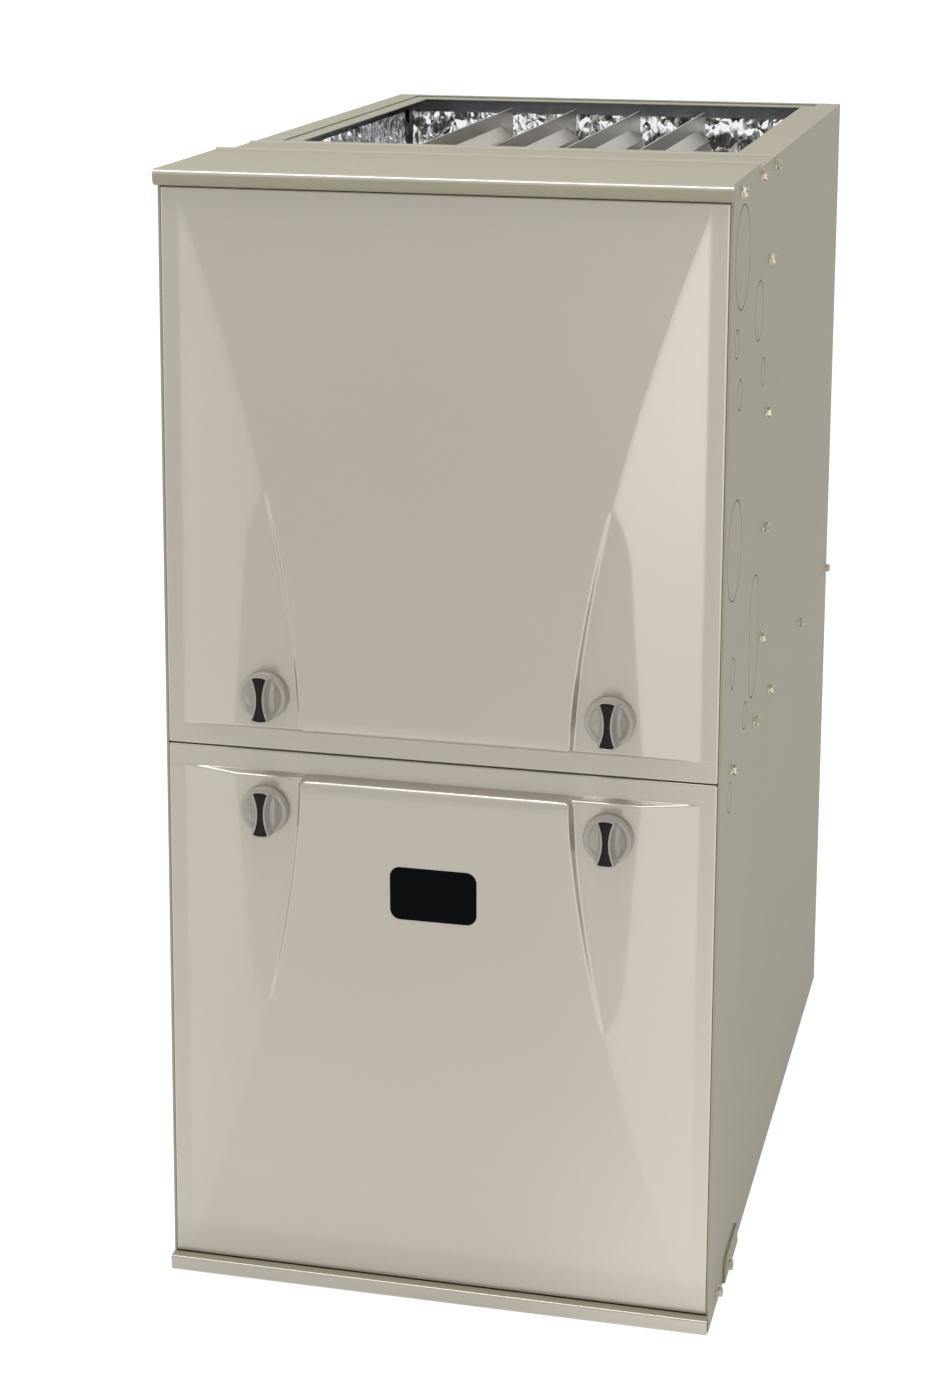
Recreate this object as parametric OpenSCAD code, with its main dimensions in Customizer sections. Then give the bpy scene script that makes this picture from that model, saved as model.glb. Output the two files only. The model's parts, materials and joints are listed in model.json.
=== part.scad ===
// Upflow forced air gas furnace, 17.5 inch cabinet, condensing, two lift-off doors.
// +Z is up, the doors face -Y, and the origin is the centre of the base on the floor.
// Depths are measured back from the flat face of the doors.

/* [Cabinet] */
// Width over the side panels
body_w = 445; // [445:1:533]
// Depth from the flat face of the doors to the back of the rear panel
body_d = 750; // [740:1:760]
// Height from the floor to the top of the front cap
body_h = 915; // [910:1:940]
// Thickness of the casing sheet
sheet = 1.2; // [1:0.1:1.4]
// Height of the joint between the two doors
seam_z = 454; // [450:1:458]
// How far the cap and the base trim stand in front of the doors
nose_out = 9; // [7:0.5:10]
// Height of the cap's front edge
nose_h = 13; // [11:0.5:15]

/* [Doors] */
// Depth of the folded edges of a door
door_depth = 12; // [10:0.5:12.5]
// Gap round each door
door_gap = 1; // [0.6:0.1:1.5]
// Flat border beside the pressed field
border = 15.5; // [12:0.5:18]
// Height of the pressed field at the knobs
relief_h = 14; // [8:0.5:16]
// How far the creases come in from the border at the knobs
crease_in = 97; // [80:1:100]

/* [Knobs] */
// Diameter of a door knob
knob_dia = 39; // [34:1:42]
// How far a knob stands out of its pocket
knob_h = 16; // [12:0.5:20]
// Distance of the knobs from the middle of the door
knob_x = 138; // [134:1:140]
// Distance of the knobs above and below the joint between the doors
knob_up = 47; // [44:1:50]

/* [Sight glass] */
// Width of the sight glass
glass_w = 69; // [60:1:75]
// Height of the sight glass
glass_h = 43; // [38:1:46]
// Height of the middle of the sight glass above the floor
glass_z = 348.5; // [340:0.5:355]

/* [Supply opening] */
// Width of the flange beside the supply opening
flange_side = 35; // [30:1:40]
// Depth at which the supply opening starts
opening_front = 262; // [258:1:268]
// Width of the flange behind the supply opening
flange_rear = 32; // [28:1:36]

/* [Heat exchanger] */
// Distance between two heat exchanger cells
cell_pitch = 64; // [60:1:66]
// Height of the seam along the top of the cells
cell_top = 903; // [896:1:904]
// Thickness of the foil-faced insulation
foil_t = 12; // [8:1:14]

/* [Blower] */
// Diameter of the blower wheel
wheel_dia = 254; // [240:1:260]
// Width of the blower wheel
wheel_w = 236; // [220:1:240]
// Number of blades on the blower wheel
blade_count = 30; // [24:1:36]
// Diameter of the blower motor
motor_dia = 138; // [120:1:144]

/* [Hidden] */

$fn = 48;
paint = [0.70, 0.67, 0.61];
paint_side = [0.62, 0.59, 0.53];
steel = [0.66, 0.67, 0.68];
foil = [0.80, 0.81, 0.83];
black = [0.09, 0.09, 0.09];
half_w = body_w / 2;
inner_w = half_w - sheet;
touch = 0.01;

// Levels of the top: cap plate, then the filler and the flanges round the opening
bead_h = 1.5;
cap_z = body_h - bead_h;
filler_z = cap_z - 3.5;
cap_end = 150;
nose_r = 4;
base_h = 14;
under_filler = filler_z - sheet;
return_w = 21;
return_x = half_w - return_w;
opening_x = half_w - flange_side;
opening_rear = body_d - flange_rear;
flange_lap = 12;

// Doors and their pressed fields
door_w = body_w - 2 * sheet - 2 * door_gap;
door_top = cap_z - nose_h - door_gap;
door_bottom = base_h + door_gap;
upper_door_z = [seam_z + door_gap / 2, door_top];
lower_door_z = [door_bottom, seam_z - door_gap / 2];
relief_end = 17;
bevel = 3.5;
upper_field = [door_top - 7.5, seam_z + relief_end];
lower_field = [door_bottom + 5.5, seam_z - relief_end];
pocket_tip = 0.54;
pocket_floor = 0.45;
pocket_dip = 0.09;
pocket_h = pocket_floor * relief_h;
relief_rows = [0, 0.05, 0.1, 0.16, 0.22, 0.3, 0.38, 0.46, 0.5, 0.54, 0.57, 0.61, 0.66, 0.74, 0.82, 0.91, 1];
crease_power = 1.62;
step_w = 4;

// Knobs
knob_face = pocket_h + knob_h;
y_front = (knob_face - body_d) / 2;
stem_r = 5;
run_gap = 0.05;
cam_length = 24;
keeper_front = door_depth + 3.4;
keeper_t = 1.5;

// Sight glass
glass_r = 8;

// Rows of casing screws, as depth and height
shelf_z = seam_z - 0.4;
flange_h = 16;
screw_z_shelf = seam_z - 8;
screw_y_cell = 228;
side_screws = [[47, body_h - 12], [162, body_h - 12], [250, body_h - 13],
    [screw_y_cell, 828], [screw_y_cell, 701], [screw_y_cell, 604], [screw_y_cell, 510],
    [65, screw_z_shelf], [198, screw_z_shelf], [293, screw_z_shelf], [516, screw_z_shelf],
    [742, screw_z_shelf - 3], [51, 9]];
bracket_screw = [98, 9];
bracket_t = 2;
shank_r = 1.9;
hole_r = 2.05;

// Round knockouts of the side panels, as depth, height and diameter
knockouts = [[58, 852, 80], [163, 795, 48], [196, 740, 23], [59, 746, 24], [36, 789, 22],
    [50, 626, 78], [55, 527, 24], [133, 470, 22], [53, 427, 24]];
slot_knockout = [177, 524, 50, 102];
groove_w = 0.9;
groove_d = 0.4;

// Folds and clearances of the casing sheets
fit = 0.2;
past = 5;
fold = 16;
rear_clear = 18;
side_front = 1;
front_return = 18;
door_stop = door_depth + sheet;
shelf_front = door_depth + 5;
nose_back = 0.8;
cap_lip = 20;
base_lip = 20;

// Casing screws: washer, hexagon head and shank
washer_t = 0.9;
washer_r = 5.4;
head_h = 4.2;
head_r = 4.4;
shank_l = 8;

// Heat exchanger
cell_panel_y = 240;
cell_front = cell_panel_y + sheet;
cell_rear = 700;
cell_bulge = 13;
cell_wall = 1.2;
foil_x = inner_w - 1.3;
foil_top = body_h - 20;
port_z = 836;
port_r = 17;
manifold_y = 92;

// Hole for the gas pipe in the left side panel, in place of the knockout there
gas_hole_r = 22;
gas_side_knockouts = [for (k = knockouts)
    if (norm([k[0] - manifold_y, k[1] - port_z]) > k[2] / 2 + 2 * gas_hole_r) k];

// Blower
blower_y = 430;
blower_z = 215;
housing_w = wheel_w + 16;
scroll_r = wheel_dia / 2 + 11;
scroll_grow = 50;
cutoff = 110;
inlet_r = 104;
shaft_r = 6.3;

// Inducer
inducer_x = 30;
inducer_z = 548;
inducer_y = [138, 184];

// Pressure tube between the collector box and the pressure switch
collector_top = inducer_z + 58;
switch_z = 690;
hose_x = -110;
hose_y = 212;
nipple_r = 2.6;
nipple_bore_r = 1.4;

// A box between two opposite corners
module block(low, high) {
    translate(low) cube(high - low);
}

// Depth from the face of the doors to the frame of the part
module from_front() {
    translate([0, y_front, 0]) children();
}

// An outline of depth and height, given a length across the furnace
module along_x(x0, x1) {
    translate([x0, 0, 0]) rotate([90, 0, 90]) linear_extrude(x1 - x0) children();
}

// An outline of width and height, given a length from front to back
module along_y(y0, y1) {
    translate([0, y1, 0]) rotate([90, 0, 0]) linear_extrude(y1 - y0) children();
}

module rod_x(x0, x1, y, z, r) {
    translate([x0, y, z]) rotate([0, 90, 0]) cylinder(h = x1 - x0, r = r);
}

module rod_y(y0, y1, x, z, r) {
    translate([x, y0, z]) rotate([-90, 0, 0]) cylinder(h = y1 - y0, r = r);
}

module rod_z(z0, z1, x, y, r) {
    translate([x, y, z0]) cylinder(h = z1 - z0, r = r);
}

module both_sides() {
    children();
    mirror([1, 0, 0]) children();
}

module rounded_rect(w, h, r) {
    square([w, h - 2 * r], center = true);
    square([w - 2 * r, h], center = true);
    for (sx = [-1, 1], sz = [-1, 1])
        translate([sx * (w / 2 - r), sz * (h / 2 - r)]) circle(r);
}

// Casing

// Holes for the screws of both sides
module screw_holes() {
    for (p = concat(side_screws, [bracket_screw]))
        rod_x(-half_w - past, half_w + past, p[0], p[1], hole_r);
}

module hex_screw(x, p) {
    rod_x(x, x + washer_t, p[0], p[1], washer_r);
    translate([x, p[0], p[1]]) rotate([0, 90, 0]) cylinder(h = head_h, r = head_r, $fn = 6);
    rod_x(x - shank_l, x + touch, p[0], p[1], shank_r);
}

module casing_screws() {
    color(steel) from_front() both_sides() {
        for (p = side_screws) hex_screw(half_w, p);
        hex_screw(half_w + bracket_t, bracket_screw);
    }
}

module knockout_ring(d) {
    difference() {
        circle(d / 2 + groove_w / 2);
        circle(d / 2 - groove_w / 2);
    }
}

module slot_ring(w, h) {
    difference() {
        rounded_rect(w + groove_w, h + groove_w, w / 2);
        rounded_rect(w - groove_w, h - groove_w, w / 2 - groove_w);
    }
}

module knockout_grooves(marks) {
    along_x(half_w - groove_d, half_w + 1) {
        for (k = marks) translate([k[0], k[1]]) knockout_ring(k[2]);
        translate([slot_knockout[0], slot_knockout[1]]) slot_ring(slot_knockout[2], slot_knockout[3]);
    }
}

// A right side panel with its front flange and its return round the supply opening
module side_panel(marks) {
    from_front() difference() {
        union() {
            along_x(inner_w, half_w) polygon([[side_front, 0], [body_d, 0], [body_d, filler_z],
                [opening_front, filler_z], [opening_front, under_filler], [cap_end - sheet, under_filler],
                [cap_end - sheet, cap_z - sheet], [side_front, cap_z - sheet]]);
            block([inner_w - front_return, door_stop, base_h],
                [inner_w + touch, door_stop + sheet, door_top]);
            block([return_x, opening_front, under_filler], [inner_w + touch, body_d - sheet, filler_z]);
        }
        screw_holes();
        knockout_grooves(marks);
    }
}

module left_side_panel() {
    color(paint_side) difference() {
        mirror([1, 0, 0]) side_panel(gas_side_knockouts);
        from_front() rod_x(-half_w - past, -inner_w + past, manifold_y, port_z, gas_hole_r);
    }
}

module right_side_panel() {
    color(paint_side) side_panel(knockouts);
}

module rear_panel() {
    color(paint_side) from_front() difference() {
        union() {
            block([-inner_w, body_d - sheet, 0], [inner_w, body_d, filler_z]);
            block([-return_x, body_d - flange_lap, under_filler], [return_x, body_d - touch, filler_z]);
            both_sides() block([inner_w - sheet, body_d - fold, 0], [inner_w, body_d - touch, foil_top]);
        }
        screw_holes();
    }
}

module bottom_panel() {
    z = sheet + fit;
    rear = body_d - rear_clear;
    color(paint_side) from_front() difference() {
        union() {
            block([-inner_w, 2, z], [inner_w, rear, z + sheet]);
            both_sides() block([inner_w - sheet, fold, z], [inner_w, rear, base_lip]);
        }
        screw_holes();
    }
}

// Outline of a rounded front edge of the given height, less a margin
module nose_outline(h, margin, back) {
    r = nose_r - margin;
    for (z = [nose_r, h - nose_r]) translate([-nose_out + nose_r, z]) circle(r);
    translate([-nose_out + margin, nose_r]) square([nose_out, h - 2 * nose_r]);
    translate([-nose_out + nose_r, margin]) square([nose_out - nose_r + back, h - 2 * margin]);
}

module nose(h) {
    difference() {
        nose_outline(h, 0, nose_back);
        nose_outline(h, sheet, nose_back + 1);
    }
}

module base_trim() {
    color(paint) from_front() {
        along_x(-half_w, half_w) nose(base_h);
        block([-inner_w + fit, nose_back - 0.1, 0], [inner_w - fit, 30, sheet]);
    }
}

// Low rounded hem along the width, ending at the given depth, on a plate whose top is at z
module hem(back, z) {
    r = 2 * bead_h;
    along_x(-half_w, half_w) intersection() {
        translate([back - r, z - bead_h]) circle(r);
        translate([back - 2 * r, z - touch]) square([2 * r, r]);
    }
}

// Front cap: rounded edge, plate, rear hem and side flanges
module top_cap() {
    color(paint) from_front() difference() {
        union() {
            along_x(-half_w - 1, half_w + 1) translate([0, cap_z - nose_h]) nose(nose_h);
            block([-half_w, 0.5, cap_z - sheet], [half_w, cap_end, cap_z]);
            block([-half_w, cap_end - sheet, filler_z], [half_w, cap_end, cap_z]);
            hem(cap_end, cap_z);
            both_sides() block([inner_w - sheet, fold, body_h - cap_lip],
                [inner_w, cap_end - 6, cap_z - touch]);
        }
        screw_holes();
    }
}

module top_filler_panel() {
    color(paint) from_front() difference() {
        union() {
            block([-half_w, cap_end - sheet, under_filler], [half_w, opening_front, filler_z]);
            hem(opening_front - 20, filler_z);
            both_sides() block([inner_w - sheet, cap_end + 4, body_h - cap_lip + 1],
                [inner_w, opening_front - 2, filler_z - touch]);
        }
        screw_holes();
    }
}

// Flange round the supply opening, lapped under the returns of the sides
module duct_flange() {
    z = under_filler - sheet;
    lap_x = inner_w - sheet - fit;
    color(paint) from_front() difference() {
        block([-lap_x, opening_front - fold, z], [lap_x, body_d - sheet - fit, under_filler]);
        block([-opening_x, opening_front, z - 1], [opening_x, opening_rear, filler_z]);
        both_sides() block([inner_w - 2 * sheet - 0.1, body_d - rear_clear, z - 1],
            [inner_w, body_d, filler_z]);
    }
}

// Shelf that carries the blower, with the opening that its outlet blows through
module blower_shelf() {
    rear = body_d - rear_clear;
    flange_x = inner_w - 20;
    color(steel) from_front() difference() {
        union() {
            block([-inner_w, shelf_front, shelf_z - sheet], [inner_w, rear, shelf_z]);
            block([-inner_w + 3, rear - touch, shelf_z - sheet], [inner_w - 3, body_d - 2, shelf_z]);
            block([-flange_x, shelf_front, shelf_z - flange_h], [flange_x, shelf_front + sheet, shelf_z]);
            both_sides() block([inner_w - sheet, 40, shelf_z - flange_h], [inner_w, rear, shelf_z - touch]);
        }
        outlet_hole(0.3);
        screw_holes();
    }
}

module outlet_hole(gap) {
    x = housing_w / 2 + sheet + gap;
    block([-x, outlet_front - gap, shelf_z - 40], [x, outlet_rear + gap, shelf_z + past]);
}

// Panel between the burners and the heat exchanger
module cell_panel() {
    window = coil_half_w + 4;
    front = cell_panel_y - past;
    rear = cell_front + past;
    color(steel) from_front() difference() {
        union() {
            block([-inner_w, cell_panel_y, shelf_z], [inner_w, cell_front, foil_top]);
            both_sides() block([inner_w - sheet, cell_panel_y - 25, shelf_z],
                [inner_w, cell_panel_y + touch, foil_top]);
        }
        for (i = [0 : 3]) rod_y(front, rear, cell_x(i), port_z, port_r);
        block([-window, front, coil_z[0] - 2], [window, rear, coil_z[1] + 2]);
        screw_holes();
    }
}

// Slotted plates that the door latches turn behind
module latch_keepers() {
    reach = knob_up + 22;
    color(steel) from_front() both_sides() difference() {
        block([knob_x - 20, keeper_front, seam_z - reach],
            [knob_x + 20, keeper_front + keeper_t, seam_z + reach]);
        for (s = [-1, 1])
            rod_y(keeper_front - past, keeper_front + past, knob_x, seam_z + s * knob_up, cam_length / 2 + 1);
    }
}

module base_brackets() {
    color(paint_side) from_front() difference() {
        both_sides() along_x(half_w, half_w + bracket_t)
            polygon([[82, 0], [158, 0], [150, 20], [88, 20], [82, 14]]);
        screw_holes();
    }
}

// Insulation

foil_rear = body_d - 2;
foil_z = [shelf_z + 3, foil_top - 1];

module side_insulation() {
    from_front() block([foil_x - foil_t, cell_front + 0.5, foil_z[0]], [foil_x, foil_rear, foil_z[1]]);
}

module left_insulation() {
    color(foil) mirror([1, 0, 0]) side_insulation();
}

module right_insulation() {
    color(foil) side_insulation();
}

module rear_insulation() {
    half = foil_x - foil_t - fit;
    color(foil) from_front() block([-half, foil_rear - foil_t, foil_z[0]], [half, foil_rear, foil_z[1]]);
}

// Heat exchanger

function cell_x(i) = (i - 1.5) * cell_pitch;
coil_half_w = 128;
coil_z = [shelf_z + 14, shelf_z + 92];
pass_h = 62;
passes_z = [for (drop = [11, 100, 189]) cell_top - drop - pass_h / 2];

// Half width of the boxes behind and in front of the coil, and where the rear one lies
box_half = 140;
coupling_y = [704, 732];
coupling_z = [coil_z[0] - 4, passes_z[2] + pass_h / 2 + 8];

// One pass of a cell at height z, swollen at its middle, from depth y0 to y1, less a wall
module swollen_pass(y0, y1, z, rear_cut, wall) {
    y2 = y1 - wall;
    low = z - pass_h / 2 + wall;
    high = z + pass_h / 2 - wall;
    edge = [[y0, low], [y2, low], [y2, high - rear_cut], [y2 - 1.9 * rear_cut, high], [y0, high]];
    inset = cell_bulge;
    crown = [[y0, low + inset], [y2 - inset, low + inset], [y2 - inset, high - rear_cut - inset / 2],
        [y2 - 1.9 * rear_cut - inset / 2, high - inset], [y0, high - inset]];
    hull() {
        along_x(-1.5, 1.5) polygon(edge);
        along_x(-cell_bulge + wall, cell_bulge - wall) polygon(crown);
    }
}

// The three passes of a cell and the turns that join them, less a wall
module cell_passes(wall) {
    turn = 9 - wall;
    swollen_pass(cell_front + 0.2 - wall, cell_rear - 8, passes_z[0], 26, wall);
    swollen_pass(cell_front + 20 + wall, cell_rear - 8, passes_z[1], 2, wall);
    swollen_pass(cell_front + 20 + wall, cell_rear + 12 + 2 * wall, passes_z[2], 2, wall);
    block([-turn, cell_rear - 70 + wall, passes_z[1]], [turn, cell_rear - 24 - wall, passes_z[0]]);
    block([-turn, cell_front + 24 + wall, passes_z[2]], [turn, cell_front + 80 - wall, passes_z[1]]);
}

// A clamshell cell of two pressed halves, open to its burner in front and to the rear box
module heat_exchanger_cell(i) {
    color(steel) from_front() translate([cell_x(i), 0, 0]) difference() {
        union() {
            along_x(-1.2, 1.2) polygon([[cell_front + 0.2, passes_z[2] - pass_h / 2],
                [cell_rear, passes_z[2] - pass_h / 2], [cell_rear, cell_top], [cell_front + 0.2, cell_top]]);
            cell_passes(0);
        }
        cell_passes(cell_wall);
    }
}

module heat_exchanger_cell_1() { heat_exchanger_cell(0); }
module heat_exchanger_cell_2() { heat_exchanger_cell(1); }
module heat_exchanger_cell_3() { heat_exchanger_cell(2); }
module heat_exchanger_cell_4() { heat_exchanger_cell(3); }

// Rear box that turns the flue gas from the cells down into the condensing coil
module coupling_box() {
    inner = box_half - sheet;
    color(steel) from_front() difference() {
        block([-box_half, coupling_y[0], coupling_z[0]], [box_half, coupling_y[1], coupling_z[1]]);
        block([-inner, coupling_y[0] - 2, coupling_z[0] + sheet],
            [inner, coupling_y[1] - sheet, coupling_z[1] - sheet]);
    }
}

// Tubes and fins of the coil
coil_rows = 3;
coil_columns = 8;
tube_pitch = [33, 25];
tube_rise = 14;
tube_y = [cell_panel_y - 12, coupling_y[0] + 8];
tube_r = 6;
fins_y = [for (f = [0 : 11]) 275 + 35 * f];
fin_t = 1.5;

// Secondary coil: tubes from the rear box to the front box through a stack of fins
module condensing_coil() {
    color(foil) from_front() {
        for (c = [0 : coil_columns - 1], r = [0 : coil_rows - 1])
            rod_y(tube_y[0], tube_y[1], (c - (coil_columns - 1) / 2) * tube_pitch[0],
                coil_z[0] + tube_rise + tube_pitch[1] * r, tube_r);
        for (y = fins_y) block([-coil_half_w, y, coil_z[0]], [coil_half_w, y + fin_t, coil_z[1]]);
    }
}

// Front box that gathers the cooled flue gas for the inducer
module collector_box() {
    wall = 3;
    inner = box_half - wall;
    front = inducer_y[1] + 2;
    bottom = coil_z[0] - 5;
    color(black) from_front() difference() {
        block([-box_half, front, bottom], [box_half, cell_panel_y, collector_top]);
        block([-inner, front + wall, bottom + wall], [inner, cell_panel_y + 1, collector_top - wall]);
        rod_y(inducer_y[1], front + 2 * wall, inducer_x, inducer_z, 32);
    }
    color(black) from_front() difference() {
        rod_z(collector_top - touch, collector_top + 12, hose_x, hose_y, nipple_r);
        rod_z(collector_top - 1, collector_top + 14, hose_x, hose_y, nipple_bore_r);
    }
}

// Inducer

function spiral(r0, grow, a0, a1, n) =
    [for (k = [0 : n]) let (a = a0 + (a1 - a0) * k / n, r = r0 + grow * k / n) [r * cos(a), r * sin(a)]];

stub_x = inducer_x + 52;
stub_top = inducer_z + 104;
stub_r = 21;
vent_bend = 36;
vent_r = 24;
inducer_mid = (inducer_y[0] + inducer_y[1]) / 2;

// Outline of the inducer's scroll less a wall, kept clear of the step where it closes
module inducer_scroll(wall) {
    r0 = 64 - wall;
    turn = wall > 0 ? 3 : 0;
    step = wall > 0 ? [r0 * [cos(30 - turn), sin(30 - turn)]] : [];
    translate([inducer_x, inducer_z]) polygon(concat(spiral(r0, 18, 30 + turn, 390 - turn, 36), step));
}

module inducer_housing() {
    wall = 2.5;
    color(black) from_front() difference() {
        union() {
            along_y(inducer_y[0], inducer_y[1]) inducer_scroll(0);
            rod_z(inducer_z, stub_top, stub_x, inducer_mid, stub_r);
            rod_y(inducer_y[1] - touch, inducer_y[1] + 2, inducer_x, inducer_z, 50);
        }
        along_y(inducer_y[0] + wall, inducer_y[1] - wall) inducer_scroll(wall);
        rod_z(inducer_z + 4, stub_top + 1, stub_x, inducer_mid, stub_r - 3);
        rod_y(inducer_y[1] - 5, inducer_y[1] + 5, inducer_x, inducer_z, 30);
        rod_y(inducer_y[0] - 1, inducer_y[0] + 5, inducer_x, inducer_z, 8);
    }
}

// Inducer wheel: back plate, hub, spindle, straight blades and the ring that joins them
fan_r = 52;
fan_eye_r = 28;
fan_y = [147, 176];
fan_plate = 2;
fan_blades = 12;
spindle_r = 4;

module inducer_wheel() {
    color(steel) from_front() translate([inducer_x, 0, inducer_z]) {
        difference() {
            rod_y(fan_y[1] - fan_plate, fan_y[1], 0, 0, fan_r);
            rod_y(fan_y[1] - fan_plate - 1, fan_y[1] + 1, 0, 0, fan_eye_r);
        }
        rod_y(fan_y[0], fan_y[0] + fan_plate, 0, 0, fan_r);
        rod_y(fan_y[0], fan_y[0] + 13, 0, 0, 9);
        rod_y(104, 150, 0, 0, spindle_r);
        for (k = [0 : fan_blades - 1]) rotate([0, k * 360 / fan_blades, 0])
            block([fan_eye_r + 3, fan_y[0] + 1, -0.8], [fan_r - 1, fan_y[1] - 1, 0.8]);
    }
}

// Inducer motor: can, end boss, nose and three feet on the housing
module inducer_motor() {
    can_y = [84, 128];
    foot_r = 56;
    foot_t = 3;
    color(black) from_front() translate([inducer_x, 0, inducer_z]) difference() {
        union() {
            rod_y(can_y[0], can_y[1], 0, 0, 42);
            rod_y(can_y[0] - 8, can_y[0] + 1, 0, 0, 20);
            rod_y(can_y[1] - 1, can_y[1] + 5, 0, 0, 18);
            for (k = [0 : 2]) rotate([0, 90 + 120 * k, 0]) {
                block([-5, can_y[1] - 4, 30], [5, can_y[1] - 4 + foot_t, foot_r]);
                block([-5, can_y[1] - 4, foot_r - 4], [5, inducer_y[0], foot_r]);
            }
        }
        rod_y(96, 140, 0, 0, spindle_r + run_gap);
    }
}

// Plastic elbow that leads the vent to the side
module vent_elbow() {
    x = stub_x + vent_bend;
    z = stub_top + vent_bend;
    wall = 3;
    color([0.86, 0.86, 0.84]) from_front() difference() {
        union() {
            translate([x, inducer_mid, stub_top]) rotate([90, 0, 180]) rotate_extrude(angle = 90)
                translate([vent_bend, 0]) circle(stub_r + wall);
            rod_x(x - touch, x + vent_bend, inducer_mid, z, vent_r + 4);
        }
        translate([x, inducer_mid, stub_top]) rotate([90, 0, 180]) rotate([0, 0, -1])
            rotate_extrude(angle = 92) translate([vent_bend, 0]) circle(stub_r - wall);
        rod_x(x + 8, x + vent_bend + 4, inducer_mid, z, vent_r);
    }
}

// Condensate trap: cup with its inlet from the collector box, its vent and its drain
module condensate_trap() {
    x = 172;
    y = 200;
    floor_z = coil_z[0] + 2;
    top_z = floor_z + 116;
    drain_z = floor_z + 22;
    color(black) from_front() difference() {
        union() {
            block([x - 20, y - 24, floor_z], [x + 20, y + 24, top_z]);
            rod_x(box_half, x - 19, y, floor_z + 18, 9);
            rod_z(top_z - 1, top_z + 14, x, y, 8);
            rod_y(150, y - 23, x, drain_z, 10);
        }
        rod_z(floor_z + 28, top_z + 15, x, y, 5);
        rod_y(149, y, x, drain_z, 6.5);
    }
}

// Pressure switch: round cell on an angle plate, with its nipple underneath
module pressure_switch() {
    foot_z = switch_z - 24;
    color(black) from_front() {
        rod_y(176, 200, hose_x, switch_z, 34);
        rod_y(199, 206, hose_x, switch_z, 22);
        block([hose_x - 18, 205, foot_z], [hose_x + 18, cell_panel_y, foot_z + 2]);
        block([hose_x - 18, 205, foot_z], [hose_x + 18, 206, switch_z + 20]);
        difference() {
            union() {
                block([hose_x - 6, 204, foot_z - 12], [hose_x + 6, 220, foot_z + 1]);
                rod_z(foot_z - 26, foot_z - 11, hose_x, hose_y, nipple_r);
            }
            rod_z(foot_z - 28, foot_z - 12, hose_x, hose_y, nipple_bore_r);
        }
    }
}

module pressure_tube() {
    color([0.75, 0.35, 0.25]) from_front() difference() {
        rod_z(collector_top + 1, switch_z - 37, hose_x, hose_y, 4.5);
        rod_z(collector_top, switch_z - 36, hose_x, hose_y, 2.7);
    }
}

// Burners

// Shelf under the burners with a saddle for each, folded down onto the panel behind
module burner_bracket() {
    half = 136;
    rear = cell_panel_y - 4;
    z = port_z - 25;
    foot_z = port_z - 40;
    color(steel) from_front() {
        block([-half, 132, z], [half, rear, z + sheet]);
        block([-half, rear - sheet, foot_z], [half, rear, z + 1]);
        block([-half, rear - touch, foot_z], [half, cell_panel_y, foot_z + 2]);
        for (i = [0 : 3]) block([cell_x(i) - 5, 150, z], [cell_x(i) + 5, 152, z + 13]);
    }
}

// Inshot burner: bell mouth, throat and flame head, each as radius and depth on its outer side
burner_outline = [[16.5, 114], [11.5, 132], [11.5, 170], [15.5, 205], [15.5, 234]];
burner_wall = 1.5;

module burner(i) {
    inner = [for (k = [4 : -1 : 0]) [burner_outline[k][0] - burner_wall, burner_outline[k][1]]];
    color(steel) from_front() translate([cell_x(i), 0, port_z]) rotate([-90, 0, 0]) rotate_extrude()
        polygon(concat(burner_outline, inner));
}

module burner_1() { burner(0); }
module burner_2() { burner(1); }
module burner_3() { burner(2); }
module burner_4() { burner(3); }

// Pipe in front of the burners, with an orifice on a hexagon for each
orifice_y = 112;
orifice_r = 4.5;

module gas_manifold() {
    color(black) from_front() {
        rod_x(valve_x[1], 116, manifold_y, port_z, 9);
        for (i = [0 : 3]) {
            rod_y(manifold_y, orifice_y, cell_x(i), port_z, orifice_r);
            translate([cell_x(i), orifice_y - 10, port_z]) rotate([-90, 0, 0])
                cylinder(h = 5, r = 7, $fn = 6);
        }
        block([100, 82, port_z - 30], [103, 90, port_z]);
    }
}

// Gas valve: body, its two ports, two solenoid caps and the track of its switch
valve_x = [-206, -146];
valve_y = [66, 122];
valve_cap_z = [port_z + 19, port_z + 46];
gas_thread_r = 9.5;
lever_z = [port_z - 18.5, port_z - 11.5];

module gas_valve() {
    front = valve_y[0];
    color(steel) from_front() difference() {
        union() {
            block([valve_x[0] + 8, front, port_z - 34], [valve_x[1] - 6, valve_y[1], port_z + 20]);
            rod_x(valve_x[0], valve_x[1], manifold_y, port_z, 16);
            rod_z(valve_cap_z[0], valve_cap_z[1], -188, 94, 13);
            rod_z(valve_cap_z[0], valve_cap_z[1], -163, 94, 11);
            block([-192, front - 6, port_z - 26], [-160, front + 1, port_z - 4]);
        }
        rod_x(valve_x[0] - 1, valve_x[0] + 16, manifold_y, port_z, gas_thread_r);
        block([-189, front - 9, lever_z[0] - 0.5], [-163, front - 3, lever_z[1] + 0.5]);
    }
}

// The lever that slides in the track between on and off
module gas_valve_switch() {
    color([0.75, 0.1, 0.1]) from_front()
        block([-187, valve_y[0] - 12, lever_z[0]], [-176, valve_y[0] - 3.3, lever_z[1]]);
}

// Igniter: ceramic block, flat element in the last burner's flame, and its bracket
module hot_surface_igniter() {
    left = 139;
    right = 157;
    rear = 226;
    foot_z = port_z - 14;
    color([0.85, 0.84, 0.8]) from_front() {
        block([left, 200, port_z - 9], [right, rear, port_z + 9]);
        block([118, 210, port_z - 7], [left + 1, 214, port_z + 7]);
        block([left, rear - 2, foot_z], [right, cell_panel_y, foot_z + 3]);
        block([left + 7, rear - 2, foot_z], [left + 11, rear, port_z]);
    }
}

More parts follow.
